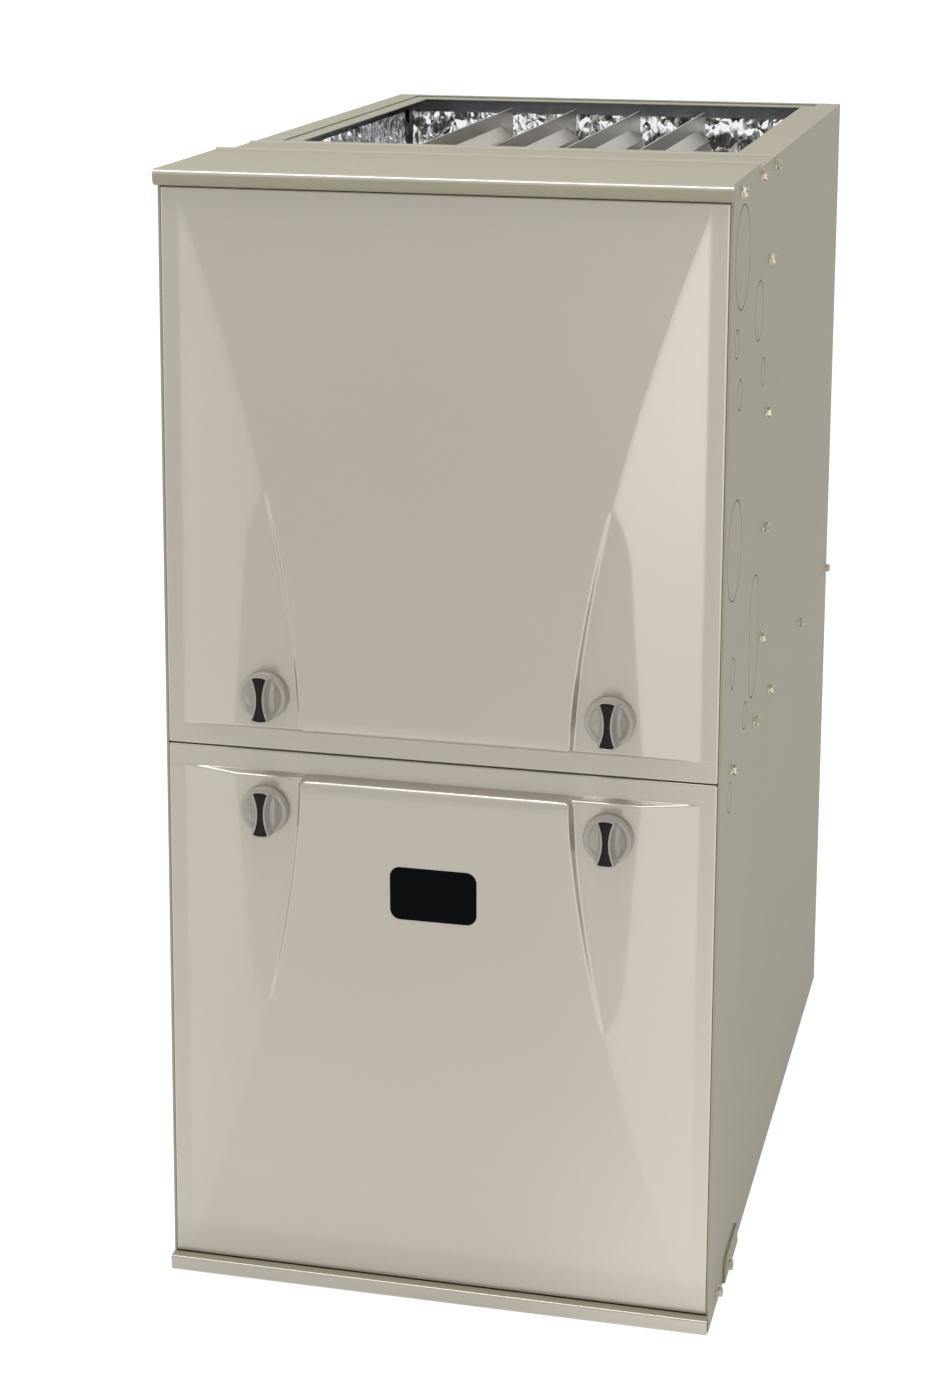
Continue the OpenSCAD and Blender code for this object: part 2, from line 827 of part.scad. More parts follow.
// Flame sensor: ceramic sleeve, rod into the first burner's flame, tag and bracket
module flame_sensor() {
    y = 214;
    left = -156;
    right = -136;
    foot_z = port_z - 30;
    color([0.9, 0.9, 0.88]) from_front() {
        rod_x(left, right, y, port_z, 5.5);
        rod_x(right - 1, right + 23, y, port_z, 1.7);
        rod_x(left - 12, left + 1, y, port_z, 2.5);
        block([-150, y - 2, foot_z], [-146, cell_panel_y, foot_z + 3]);
        block([-150, y - 2, foot_z], [-146, y + 2, port_z]);
    }
}

rollout_z = port_z + 40;
button_r = 3;

module rollout_switch() {
    color(black) from_front() difference() {
        union() {
            block([-14, cell_panel_y - 6, rollout_z - 12], [14, cell_panel_y, rollout_z + 12]);
            rod_y(224, cell_panel_y - 5, 0, rollout_z, 9);
        }
        rod_y(223, 233, 0, rollout_z, button_r + 0.1);
    }
}

module rollout_reset_button() {
    color([0.8, 0.15, 0.1]) from_front() rod_y(220, 229.5, 0, rollout_z, button_r);
}

// Blower

outlet_front = blower_y + scroll_r * cos(cutoff);
outlet_rear = blower_y + scroll_r + scroll_grow;
outlet_top = shelf_z + 2;

module scroll_outline(margin) {
    r0 = scroll_r - margin;
    top = outlet_top + margin;
    start = [for (p = spiral(r0, scroll_grow, cutoff, 360, 40)) p + [blower_y, blower_z]];
    polygon(concat(start, [[outlet_rear - margin, top], [outlet_front + margin, top]]));
}

// Scroll housing of the blower: wrapper, two side plates with inlets and the outlet throat
module blower_housing() {
    w = housing_w / 2;
    ring = 6;
    color(steel) from_front() difference() {
        union() {
            along_x(-w, w) difference() {
                scroll_outline(0);
                scroll_outline(sheet);
            }
            for (x = [-w - sheet, w]) along_x(x, x + sheet) scroll_outline(0);
            both_sides() difference() {
                rod_x(w, w + ring, blower_y, blower_z, inlet_r + 5);
                rod_x(w - 1, w + ring + 1, blower_y, blower_z, inlet_r + 2);
            }
        }
        rod_x(-w - ring - past, w + ring + past, blower_y, blower_z, inlet_r);
    }
}

// Wheel with forward-curved blades on a middle disc
module blower_wheel() {
    r = wheel_dia / 2;
    half = wheel_w / 2;
    blade = 15;
    blade_t = 1.2;
    rim = 4;
    disc_x = [-10, -7];
    hub_x = [-38, -8];
    color(steel) from_front() translate([0, blower_y, blower_z]) difference() {
        union() {
            for (x = [-half, half - rim]) difference() {
                rod_x(x, x + rim, 0, 0, r);
                rod_x(x - 1, x + rim + 1, 0, 0, r - blade);
            }
            rod_x(disc_x[0], disc_x[1], 0, 0, r - 1);
            rod_x(hub_x[0], hub_x[1], 0, 0, 16);
            for (k = [0 : blade_count - 1]) rotate([k * 360 / blade_count, 0, 0])
                translate([-half + 1, 0, r - blade / 2 - 0.8]) rotate([24, 0, 0])
                    translate([0, -blade_t / 2, -blade / 2]) cube([wheel_w - 2, blade_t, blade]);
        }
        rod_x(-50, 0, 0, 0, shaft_r);
    }
}

motor_x = [24, 150];
module blower_shaft() {
    color(steel) from_front() rod_x(-44, motor_x[1] - 14, blower_y, blower_z, shaft_r);
}

module blower_motor() {
    r = motor_dia / 2;
    color(black) from_front() translate([0, blower_y, blower_z]) difference() {
        union() {
            rod_x(motor_x[0] + 10, motor_x[1] - 12, 0, 0, r);
            rod_x(motor_x[0] + 4, motor_x[0] + 11, 0, 0, r - 8);
            rod_x(motor_x[0], motor_x[0] + 5, 0, 0, 20);
            rod_x(motor_x[1] - 13, motor_x[1], 0, 0, r - 14);
        }
        rod_x(motor_x[0] - 1, motor_x[1] - 12, 0, 0, shaft_r + run_gap);
    }
}

// Belly band round the motor with three arms to the housing
module motor_mount() {
    r = motor_dia / 2;
    stand = 6.2;
    arm_t = 3;
    arm_half = 8;
    arm_end = inlet_r + 24;
    arm_x = housing_w / 2 + sheet + stand;
    color(steel) from_front() translate([0, blower_y, blower_z]) difference() {
        union() {
            rod_x(arm_x - 16, arm_x + arm_t, 0, 0, r + arm_t);
            for (a = [90, 210, 330]) rotate([a, 0, 0]) {
                block([arm_x, -arm_half, r], [arm_x + arm_t, arm_half, arm_end]);
                block([arm_x - stand, -arm_half, arm_end - 16], [arm_x + touch, arm_half, arm_end]);
            }
        }
        rod_x(arm_x - 20, arm_x + 10, 0, 0, r);
    }
}

// Controls

box_x = [-150, 112];
box_y = [42, 78];
box_z = [306, shelf_z - flange_h - 2];

// Box open to the front, hung from the shelf by its rear sheet
module control_box() {
    color(steel) from_front() {
        difference() {
            block([box_x[0], box_y[0], box_z[0]], [box_x[1], box_y[1], box_z[1]]);
            block([box_x[0] + sheet, box_y[0] - 1, box_z[0] + sheet],
                [box_x[1] - sheet, box_y[1] - sheet, box_z[1] - sheet]);
        }
        block([box_x[0], box_y[1] - sheet, box_z[1] - 5], [box_x[1], box_y[1], shelf_z - sheet]);
    }
}

// Circuit board with its relays, connectors, capacitors, lamp and chip, each given by a lower left corner
board_x = 86;
board_z = [316, 424];
board_t = 1.6;
relays = [[-70, 396], [-42, 396], [-14, 396], [30, 392]];
connectors = [[-74, 324], [-30, 324], [16, 324]];

module on_board(places, size, y) {
    for (p = places) block([p[0], y - size[1], p[1]], [p[0] + size[0], y, p[1] + size[2]]);
}

module control_board() {
    y = box_y[1] - 10;
    color([0.12, 0.35, 0.2]) from_front() {
        block([-board_x, y, board_z[0]], [board_x, y + board_t, board_z[1]]);
        on_board(relays, [22, 16, 20], y);
        on_board(connectors, [34, 9, 9], y);
        on_board([[52, 336]], [24, 3, 24], y);
        rod_y(y - 14, y, 66, 400, 8);
        rod_y(y - 14, y, 66, 378, 6);
        rod_y(y - 5, y, -4, 348, 2.5);
        for (x = [-board_x + 6, board_x - 6], z = [board_z[0] + 6, board_z[1] - 6])
            rod_y(y + board_t - 0.1, box_y[1] - sheet, x, z, 2.5);
    }
}

// Transformer: core, coil and the strap that holds it
module transformer() {
    low = [-140, 330];
    high = [-98, 372];
    strap_z = [344, 358];
    rear = box_y[1] - sheet;
    color([0.25, 0.25, 0.27]) from_front() {
        block([low[0], 50, low[1]], [high[0], 76, high[1]]);
        block([low[0] + 6, 46, low[1] + 6], [high[0] - 6, 51, high[1] - 6]);
        block([low[0] - 4, rear - 2, strap_z[0]], [high[0] + 4, rear, strap_z[1]]);
    }
}

// Box for the line voltage wires with its cover plate
module junction_box() {
    left = -inner_w + sheet + fit;
    right = -168;
    y = [150, 206];
    z = [378, shelf_z - flange_h - 2];
    color(steel) from_front() difference() {
        block([left, y[0], z[0]], [right, y[1], z[1]]);
        block([left + sheet, y[0] - 1, z[0] + sheet], [right - sheet, y[1] - sheet, z[1] - sheet]);
    }
    color(steel) from_front() block([left, y[0] - 1.4, z[0]], [right, y[0] - 0.2, z[1]]);
}

switch_x = 174;
door_switch_z = 420;
plunger_tip = -1.5;
plunger_r = 3;

module door_switch() {
    color(black) from_front() difference() {
        union() {
            block([switch_x - 8, 22, door_switch_z - 14], [switch_x + 8, 50, door_switch_z + 14]);
            block([switch_x - 12, 19, door_switch_z - 4], [switch_x + 12, 23, door_switch_z + 26]);
        }
        rod_y(15, 40, switch_x, door_switch_z, plunger_r + 0.1);
    }
}

module door_switch_plunger() {
    color([0.85, 0.85, 0.8]) from_front() rod_y(plunger_tip, 33, switch_x, door_switch_z, plunger_r);
}

// Doors

function relief_height(t) = relief_h * t;
function crease(t) = half_w - border - max(1.2, crease_in * (1 - pow(1 - t, crease_power)));
function dip(t) = pow(max(0, 1 - max(0, t - pocket_tip) / 0.12), 2);
function sunk_height(t) = min(relief_height(t), relief_h * (pocket_floor + pocket_dip * dip(t)));
function floor_height(t) = t < pocket_tip ? relief_height(t) : sunk_height(t);
function pocket_edge(t) =
    let (edge = half_w - border, c = crease(t), share = t == 0 ? 1 : floor_height(t) / relief_height(t))
    edge - (edge - c) * min(share, 1 - 0.5 / (edge - c));

// Half of one cross-section of a pressed field, from the border to the middle, as width and height
function half_row(t, flat) =
    let (low = flat ? 0 : floor_height(t), high = flat ? 0 : relief_height(t))
    [[half_w - border, 0], [pocket_edge(t), low], [crease(t), low], [crease(t) - step_w, high]];

function full_row(t, flat) =
    let (h = half_row(t, flat)) concat([for (p = h) [-p[0], p[1]]], [for (k = [3 : -1 : 0]) h[k]]);

// Pressed field of a door from its far end to its knob end, lifted off the plane by its height
module pressed_field(z_far, z_near, shift) {
    down = sign(z_far - z_near);
    end = z_near + down * bevel;
    raised = [for (t = relief_rows) [z_far + (end - z_far) * t, full_row(t, false)]];
    rows = concat(raised, [[z_near, full_row(1, true)]]);
    n = 8;
    last = len(rows) - 1;
    front = [for (r = rows, p = r[1]) [p[0], shift - p[1], r[0]]];
    back = [for (r = rows, p = r[1]) [p[0], shift + 0.6, r[0]]];
    m = len(front);
    quads = concat(
        [for (i = [0 : last - 1], j = [0 : n - 2]) let (a = i * n + j) [a, a + 1, a + 1 + n, a + n]],
        [for (i = [0 : last - 1], j = [0 : n - 2]) let (a = m + i * n + j) [a, a + n, a + 1 + n, a + 1]],
        [for (i = [0 : last - 1], j = [0, n - 1]) let (a = i * n + j)
            j == 0 ? [a, a + n, m + a + n, m + a] : [a + n, a, m + a, m + a + n]],
        [for (i = [0, last], j = [0 : n - 2]) let (a = i * n + j)
            i == 0 ? [a + 1, a, m + a, m + a + 1] : [a, a + 1, m + a + 1, m + a]]);
    faces = [for (q = quads) each [[q[0], q[1], q[2]], [q[0], q[2], q[3]]]];
    turned = down > 0 ? faces : [for (f = faces) [f[0], f[2], f[1]]];
    polyhedron(points = concat(front, back), faces = turned);
}

// A folded sheet door with its pressed field and its knob holes
module door(z, field) {
    knob_z = seam_z + sign(z[1] - seam_z - 10) * knob_up;
    from_front() difference() {
        union() {
            block([-door_w / 2, 0, z[0]], [door_w / 2, door_depth, z[1]]);
            pressed_field(field[0], field[1], 0);
        }
        block([-door_w / 2 + sheet, sheet, z[0] + sheet], [door_w / 2 - sheet, door_depth + 1, z[1] - sheet]);
        pressed_field(field[0], field[1], sheet);
        for (s = [-1, 1]) rod_y(-knob_face, 5, s * knob_x, knob_z, stem_r + run_gap);
        children();
    }
}

module upper_door() {
    color(paint) door(upper_door_z, upper_field);
}

field_length = seam_z - relief_end - bevel - lower_field[0];
field_tilt = atan(relief_h / field_length);
glass_lift = relief_h * (glass_z - lower_field[0]) / field_length;

// Places a flat piece on the sloping middle of the lower door, y = 0 on its face
module on_field() {
    translate([0, -glass_lift, glass_z]) rotate([field_tilt, 0, 0]) children();
}

module lower_door() {
    color(paint) door(lower_door_z, lower_field)
        on_field() along_y(-5, 5) rounded_rect(glass_w + 0.4, glass_h + 0.4, glass_r);
}

module sight_glass() {
    color(black) from_front() on_field() {
        along_y(-1, 1.7) rounded_rect(glass_w, glass_h, glass_r);
        along_y(1.5, 3) rounded_rect(glass_w + 8, glass_h + 8, glass_r + 2);
    }
}

// Outline of the raised grip, narrow at its middle
module bow_tie(length, waist, curve) {
    intersection() {
        circle(length / 2);
        difference() {
            square([length, length], center = true);
            for (s = [-1, 1]) translate([s * (curve + waist / 2), 0]) circle(curve, $fn = 96);
        }
    }
}

// Quarter-turn knob with its grip, stem and latch bar
module knob(x, z) {
    r = knob_dia / 2;
    base = -pocket_h - 0.3;
    cam_y = keeper_front + keeper_t + 1;
    color(paint_side) from_front() translate([x, 0, z]) {
        translate([0, base, 0]) rotate([90, 0, 0]) rotate_extrude()
            polygon([[0, 0], [r, 0], [r, 2.4], [r - 1.6, 5], [r - 5, 6.6], [0, 7]]);
        difference() {
            along_y(-knob_face, base - 2) bow_tie(knob_dia - 1.5, 8.4, 50);
            along_y(-knob_face - 1, -knob_face + 2.5) bow_tie(knob_dia - 6, 4.6, 52);
        }
        rod_y(base - 1, keeper_front + 7, 0, 0, stem_r);
        block([-4, cam_y, -cam_length / 2], [4, cam_y + 4, cam_length / 2]);
    }
}

module upper_left_knob() { knob(-knob_x, seam_z + knob_up); }
module upper_right_knob() { knob(knob_x, seam_z + knob_up); }
module lower_left_knob() { knob(-knob_x, seam_z - knob_up); }
module lower_right_knob() { knob(knob_x, seam_z - knob_up); }

left_side_panel();
right_side_panel();
rear_panel();
bottom_panel();
base_trim();
top_cap();
top_filler_panel();
duct_flange();
blower_shelf();
cell_panel();
latch_keepers();
base_brackets();
casing_screws();
left_insulation();
right_insulation();
rear_insulation();
heat_exchanger_cell_1();
heat_exchanger_cell_2();
heat_exchanger_cell_3();
heat_exchanger_cell_4();
coupling_box();
condensing_coil();
collector_box();
inducer_housing();
inducer_wheel();
inducer_motor();
vent_elbow();
condensate_trap();
pressure_switch();
pressure_tube();
burner_bracket();
burner_1();
burner_2();
burner_3();
burner_4();
gas_manifold();
gas_valve();
gas_valve_switch();
hot_surface_igniter();
flame_sensor();
rollout_switch();
rollout_reset_button();
blower_housing();
blower_wheel();
blower_shaft();
blower_motor();
motor_mount();
control_box();
control_board();
transformer();
junction_box();
door_switch();
door_switch_plunger();
upper_door();
lower_door();
sight_glass();
upper_left_knob();
upper_right_knob();
lower_left_knob();
lower_right_knob();
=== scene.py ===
"""Looks of an upflow forced air gas furnace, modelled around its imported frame.

Blender's lengths are in metres. The sizes that the classes hold are in millimetres and are
turned into metres with MM. Depths are measured back from the flat face of the doors.
"""

import json
import logging
import math
from collections.abc import Iterable
from dataclasses import dataclass
from enum import Enum

import bmesh
import bpy
from bmesh.types import BMesh, BMEdge, BMVert
from bpy.types import Material, Node, NodeSocket, NodeTree, Object
from mathutils import Matrix, Vector, noise


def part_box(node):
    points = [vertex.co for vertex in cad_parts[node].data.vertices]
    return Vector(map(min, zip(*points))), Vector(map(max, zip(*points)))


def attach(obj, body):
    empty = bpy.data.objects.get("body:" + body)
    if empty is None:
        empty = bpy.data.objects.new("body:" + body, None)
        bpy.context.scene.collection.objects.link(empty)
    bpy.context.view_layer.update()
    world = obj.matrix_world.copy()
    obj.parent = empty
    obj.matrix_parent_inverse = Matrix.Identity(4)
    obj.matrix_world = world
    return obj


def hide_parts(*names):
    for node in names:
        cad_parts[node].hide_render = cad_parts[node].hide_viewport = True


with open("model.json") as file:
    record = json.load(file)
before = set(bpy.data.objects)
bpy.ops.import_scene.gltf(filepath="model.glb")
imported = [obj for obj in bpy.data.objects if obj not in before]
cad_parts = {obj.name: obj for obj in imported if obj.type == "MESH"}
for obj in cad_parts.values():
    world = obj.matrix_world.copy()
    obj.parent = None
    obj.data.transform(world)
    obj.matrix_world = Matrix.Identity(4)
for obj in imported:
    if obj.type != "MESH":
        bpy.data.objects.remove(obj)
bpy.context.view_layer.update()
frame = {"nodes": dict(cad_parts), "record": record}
LOG = logging.getLogger("furnace")

MM = 0.001
PER_METRE = 1000
NOISE_SEED = 7
CASING_DEPTH = 750 * MM
SHEET = 1.2 * MM
WELD = 0.002 * MM
FLAT_WITHIN = math.radians(0.6)
SOFTEN_FROM = math.radians(32)
ROD_SIDES = 48
GRID_HALF = 0.5
DOOR_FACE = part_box("rear_panel")[1].y - CASING_DEPTH
HALF_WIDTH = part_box("right_side_panel")[1].x
BODY_OF = {n: b for b, members in frame["record"]["behaviour"]["bodies"].items() for n in members}

Pair = tuple[float, float]
Triple = tuple[float, float, float]
Profile = list[Pair]
Stops = tuple[tuple[float, int, tuple[float, ...]], ...]


def back(millimetres: float) -> float:
    """Place along Y of a depth behind the doors, given in millimetres."""
    return DOOR_FACE + millimetres * MM


def ramp(value: float, low: float, high: float) -> float:
    """Share of the way from low to high, kept between 0 and 1 and eased at both ends."""
    share = min(1.0, max(0.0, (value - low) / (high - low)))
    return share * share * (3 - 2 * share)


def soft_min(a: float, b: float, blend: float) -> float:
    """Smaller of two heights, rounded over where they cross.

    Args:
        a: First height.
        b: Second height.
        blend: Difference in height within which the two run together.

    Returns:
        The lower height, a little less near the crossing.
    """
    near = max(blend - abs(a - b), 0.0) / blend
    return min(a, b) - near * near * blend / 4


def soft_max(a: float, b: float, blend: float) -> float:
    """Larger of two heights, rounded over where they cross."""
    return -soft_min(-a, -b, blend)


# Finishes


COAT_ROUGHNESS = 0.12
CLOUD_SCALE = 7.0
CLOUD_DETAIL = 3.0
CLOUD_DRIFT = 0.03
GLOSS_DRIFT = 0.1
CRINKLE_WARP = 0.6
SPECKLE_DETAIL = 4.0


def wire(tree: NodeTree, node: Node, inputs: dict[str | int, object]) -> None:
    """Set inputs of a node to values, or link them to sockets.

    Args:
        tree: Tree that holds the node.
        node: The node.
        inputs: Value or driving socket of each input, by its name or number.
    """
    for key, value in inputs.items():
        if isinstance(value, NodeSocket):
            tree.links.new(value, node.inputs[key])
        else:
            node.inputs[key].default_value = value


def add_node(tree: NodeTree, kind: str, inputs: dict[str | int, object], operation: str = "") -> Node:
    """Add a shader node.

    Args:
        tree: Tree that takes the node.
        kind: Type of the node.
        inputs: Value or driving socket of each input, by its name or number.
        operation: What a node for sums works out.

    Returns:
        The new node.
    """
    node = tree.nodes.new(kind)
    if operation:
        node.operation = operation
    wire(tree, node, inputs)
    return node


def maths(tree: NodeTree, operation: str, *values: NodeSocket | float) -> NodeSocket:
    """Result of a sum on values that are sockets or plain numbers."""
    return add_node(tree, "ShaderNodeMath", dict(enumerate(values)), operation).outputs[0]


class Pattern(Enum):
    """How a finish varies over its surface."""

    SPECKLE = "fine even speckle"
    SPANGLE = "crystals of a zinc coat"
    GRAIN = "drawn lines, a speckle that is stretched"
    CRINKLE = "creased foil"


@dataclass(frozen=True)
class Finish:
    """A surface finish and the small variation that a real one has.

    Attributes:
        name: What a maker would call it.
        colour: Linear base colour.
        roughness: Middle roughness.
        metallic: 1 for bare metal.
        coat: Weight of a clear coat.
        ior: Index of refraction, which sets how much a surface that isn't metal mirrors.
        specular: Level of the plain reflection, 0.5 for an untreated surface.
        pattern: Kind of variation.
        size: Size of the pattern in millimetres.
        contrast: How far brightness varies, as a share.
        relief: Height of the surface's waves in millimetres.
        stretch: How much finer the pattern is along each axis.
    """

    name: str
    colour: Triple
    roughness: float
    metallic: float = 0.0
    coat: float = 0.0
    ior: float = 1.5
    specular: float = 0.5
    pattern: Pattern = Pattern.SPECKLE
    size: float = 2.0
    contrast: float = 0.04
    relief: float = 0.01
    stretch: Triple = (1.0, 1.0, 1.0)

    def material(self) -> Material:
        """Blender material of this finish, made once."""
        made = bpy.data.materials.get(self.name)
        return made or self._build()

    def _build(self) -> Material:
        """Wire the colour, roughness and bump of this finish from one pattern.

        Returns:
            The new material.
        """
        material = bpy.data.materials.new(self.name)
        material.use_nodes = True
        tree = material.node_tree
        shader = tree.nodes["Principled BSDF"]
        wire(tree, shader, {"Metallic": self.metallic, "Coat Weight": self.coat, "IOR": self.ior,
                            "Coat Roughness": COAT_ROUGHNESS, "Specular IOR Level": self.specular,
                            "Base Color": (*self.colour, 1.0)})
        place = tree.nodes.new("ShaderNodeTexCoord").outputs["Object"]
        grain = [s / (self.size * MM) for s in self.stretch]
        scaled = add_node(tree, "ShaderNodeMapping", {"Scale": grain, "Vector": place})
        value = self._pattern_value(tree, scaled.outputs["Vector"])
        clouds = add_node(tree, "ShaderNodeTexNoise",
                          {"Scale": CLOUD_SCALE, "Detail": CLOUD_DETAIL, "Vector": place})
        shade = self._between(tree, value, 1 - self.contrast, 1 + self.contrast)
        drift = self._between(tree, clouds.outputs["Fac"], 1 - CLOUD_DRIFT, 1 + CLOUD_DRIFT)
        product = maths(tree, "MULTIPLY", shade, drift)
        tint = add_node(tree, "ShaderNodeVectorMath", {0: self.colour, "Scale": product}, "SCALE")
        gloss = self._between(tree, value, self.roughness * (1 - GLOSS_DRIFT),
                              min(1.0, self.roughness * (1 + GLOSS_DRIFT)))
        bump = add_node(tree, "ShaderNodeBump",
                        {"Strength": 1.0, "Distance": self.relief * MM, "Height": value})
        wire(tree, shader, {"Base Color": tint.outputs["Vector"], "Roughness": gloss,
                            "Normal": bump.outputs["Normal"]})
        return material

    def _pattern_value(self, tree: NodeTree, place: NodeSocket) -> NodeSocket:
        """Texture that drives this finish.

        Args:
            tree: Node tree of the material.
            place: Place on the surface, scaled to the size of the pattern.

        Returns:
            The texture's value, from 0 to 1.
        """
        if self.pattern is Pattern.SPANGLE:
            cells = add_node(tree, "ShaderNodeTexVoronoi", {"Scale": 1.0, "Vector": place})
            split = add_node(tree, "ShaderNodeSeparateColor", {"Color": cells.outputs["Color"]})
            return split.outputs["Red"]
        if self.pattern is Pattern.CRINKLE:
            warp = add_node(tree, "ShaderNodeTexNoise", {"Scale": CRINKLE_WARP, "Vector": place})
            push = add_node(tree, "ShaderNodeVectorMath", {0: place, 1: warp.outputs["Color"]}, "ADD")
            cells = add_node(tree, "ShaderNodeTexVoronoi", {"Scale": 1.0, "Vector": push.outputs["Vector"]})
            cells.feature = "DISTANCE_TO_EDGE"
            return cells.outputs["Distance"]
        grains = add_node(tree, "ShaderNodeTexNoise",
                          {"Scale": 1.0, "Detail": SPECKLE_DETAIL, "Vector": place})
        return grains.outputs["Fac"]

    @staticmethod
    def _between(tree: NodeTree, value: NodeSocket, low: float, high: float) -> NodeSocket:
        """Spread a value from 0 to 1 over low to high."""
        spread = add_node(tree, "ShaderNodeMapRange", {"To Min": low, "To Max": high, "Value": value})
        return spread.outputs["Result"]


DOOR_PAINT = Finish("satin_front_paint", (0.395, 0.36, 0.294), 0.25, metallic=0.3, coat=0.3, ior=2.0,
                    size=6.0, contrast=0.008, relief=0.002)
# Darker copy of the door paint: its darker colour is painted shade of the cabinet's sides, tops and rear.
SHADED_CASING_PAINT = Finish("satin_casing_paint_painted_shade", (0.352, 0.321, 0.236), 0.5, metallic=0.1, specular=0.25,
                      size=6.0, contrast=0.012, relief=0.003)
# Near-black for the faces inside the knockouts' grooves, painted shade of the cuts.
SCORE_LINE_SHADE = Finish("score_line_painted_shade", (0.04, 0.037, 0.03), 0.7, specular=0.1, size=0.7)
KNOB_PLASTIC = Finish("moulded_knob_plastic", (0.34, 0.31, 0.265), 0.24, coat=0.5, size=0.5, contrast=0.02)
# Black of the knobs' inlays, which also paints the screws' slots as painted shade.
INLAY_AND_SLOT_SHADE = Finish("black_inlay_and_painted_slot_shade", (0.011, 0.01, 0.009), 0.5, specular=0.12, size=0.4, contrast=0.1, relief=0.01)
WINDOW = Finish("dark_sight_glass", (0.002, 0.003, 0.0035), 0.2, specular=0.02, size=30, contrast=0.1,
                relief=0.0)
GASKET = Finish("window_gasket", (0.02, 0.02, 0.02), 0.5, size=0.5)
GALVANISED = Finish("galvanised_sheet", (0.56, 0.575, 0.58), 0.42, metallic=0.9, pattern=Pattern.SPANGLE,
                    size=9, contrast=0.1, relief=0.004)
ZINC = Finish("zinc_plated_screw", (0.36, 0.32, 0.24), 0.24, metallic=1.0, size=0.6, contrast=0.12)
CELL_STEEL = Finish("exchanger_steel", (0.4, 0.375, 0.33), 0.3, metallic=0.9, size=22, contrast=0.14,
                    relief=0.02)
FOIL = Finish("creased_foil", (0.94, 0.95, 0.97), 0.13, metallic=0.96, pattern=Pattern.CRINKLE, size=11,
              contrast=0.06, relief=2.6, stretch=(1.0, 1.0, 0.5))
# Darker copy of the galvanised sheet: the inner sides are bare zinc, and their darkness is painted shade.
SHADED_ZINC_LINING = Finish("zinc_lining_painted_shade", (0.25, 0.265, 0.28), 0.36, metallic=0.9, pattern=Pattern.SPANGLE,
                   size=9, contrast=0.12, relief=0.004)
ALUMINIUM = Finish("rolled_aluminium", (0.74, 0.75, 0.77), 0.3, metallic=1.0, pattern=Pattern.GRAIN, size=1.0,
                   contrast=0.08, stretch=(1.0, 0.06, 1.0))
CAST_METAL = Finish("cast_valve_metal", (0.5, 0.51, 0.52), 0.48, metallic=0.9, size=1.4, contrast=0.1,
                    relief=0.05)
BLACK_PLASTIC = Finish("black_moulding", (0.018, 0.018, 0.019), 0.42, size=0.8, contrast=0.15, relief=0.015)
BLACK_PAINT = Finish("black_enamel", (0.02, 0.02, 0.021), 0.3, coat=0.3, size=1.2, contrast=0.12, relief=0.01)
WHITE_PLASTIC = Finish("white_vent_plastic", (0.78, 0.78, 0.75), 0.38, size=3, contrast=0.02)
RED_PLASTIC = Finish("red_switch_plastic", (0.5, 0.02, 0.015), 0.3, size=1.0, contrast=0.06)
RUBBER = Finish("pressure_tube_rubber", (0.32, 0.05, 0.025), 0.6, size=1.5, contrast=0.1)
CERAMIC = Finish("glazed_ceramic", (0.75, 0.73, 0.68), 0.45, size=1.0, contrast=0.04)
BOARD = Finish("circuit_board", (0.015, 0.1, 0.045), 0.35, coat=0.4, size=2.5, contrast=0.2)
CORE = Finish("transformer_core", (0.06, 0.06, 0.065), 0.45, metallic=0.5, pattern=Pattern.GRAIN, size=0.7,
              contrast=0.3, relief=0.05, stretch=(0.05, 1.0, 0.05))
PAPER = Finish("studio_paper", (0.8, 0.8, 0.8), 0.9, size=400, contrast=0.0, relief=0.0)


# Meshes and pieces


def merged_copy(node: str) -> BMesh:
    """Joined copy of a node's loose triangles, with flat areas made whole faces.

    Args:
        node: Node to copy.

    Returns:
        The new shape.
    """
    shape = bmesh.new()
    shape.from_mesh(frame["nodes"][node].data)
    bmesh.ops.remove_doubles(shape, verts=shape.verts, dist=WELD)
    bmesh.ops.dissolve_limit(shape, angle_limit=FLAT_WITHIN, verts=shape.verts, edges=shape.edges)
    return shape


def round_edges(shape: BMesh, edges: list[BMEdge], width: float, segments: int, clamp: bool = False) -> None:
    """Round some edges of a shape.

    Args:
        shape: Shape to change.
        edges: Its edges to round.
        width: Width of the rounding in millimetres.
        segments: Faces across the rounding.
        clamp: Whether the rounding narrows where it would meet another one.
    """
    bmesh.ops.bevel(shape, geom=edges, offset=width * MM, segments=segments, profile=0.5,
                    affect="EDGES", material=-1, clamp_overlap=clamp)


def soften(shape: BMesh, width: float) -> None:
    """Round the sharp edges of a shape.

    Args:
        shape: Shape to change.
        width: Width of the rounding in millimetres.
    """
    sharp = [e for e in shape.edges if len(e.link_faces) == 2 and e.calc_face_angle(0) > SOFTEN_FROM]
    round_edges(shape, sharp, width, 2, clamp=True)


def as_piece(shape: BMesh, name: str, finishes: Iterable[Finish], sharp: float = 35.0) -> Object:
    """Turn a finished shape into an object at the origin.

    Args:
        shape: The shape, which is used up.
        name: Name of the object.
        finishes: Finishes, in the order of the faces' material numbers.
        sharp: Angle in degrees past which an edge is not smoothed.

    Returns:
        The linked object.
    """
    mesh = bpy.data.meshes.new(name)
    shape.to_mesh(mesh)
    shape.free()
    for finish in finishes:
        mesh.materials.append(finish.material())
    mesh.shade_smooth()
    mesh.set_sharp_from_angle(angle=math.radians(sharp))
    piece = bpy.data.objects.new(name, mesh)
    bpy.context.scene.collection.objects.link(piece)
    return piece


def bake(piece: Object) -> None:
    """Apply all modifiers of a piece to its mesh.

    Args:
        piece: Piece to change.
    """
    graph = bpy.context.evaluated_depsgraph_get()
    baked = bpy.data.meshes.new_from_object(piece.evaluated_get(graph))
    piece.modifiers.clear()
    piece.data = baked


def even_normals(piece: Object) -> None:
    """Let each flat face keep its own shading up to the rounded edges beside it.

    Args:
        piece: Piece to change.
    """
    lean = piece.modifiers.new("normals", "WEIGHTED_NORMAL")
    lean.keep_sharp = True
    bake(piece)


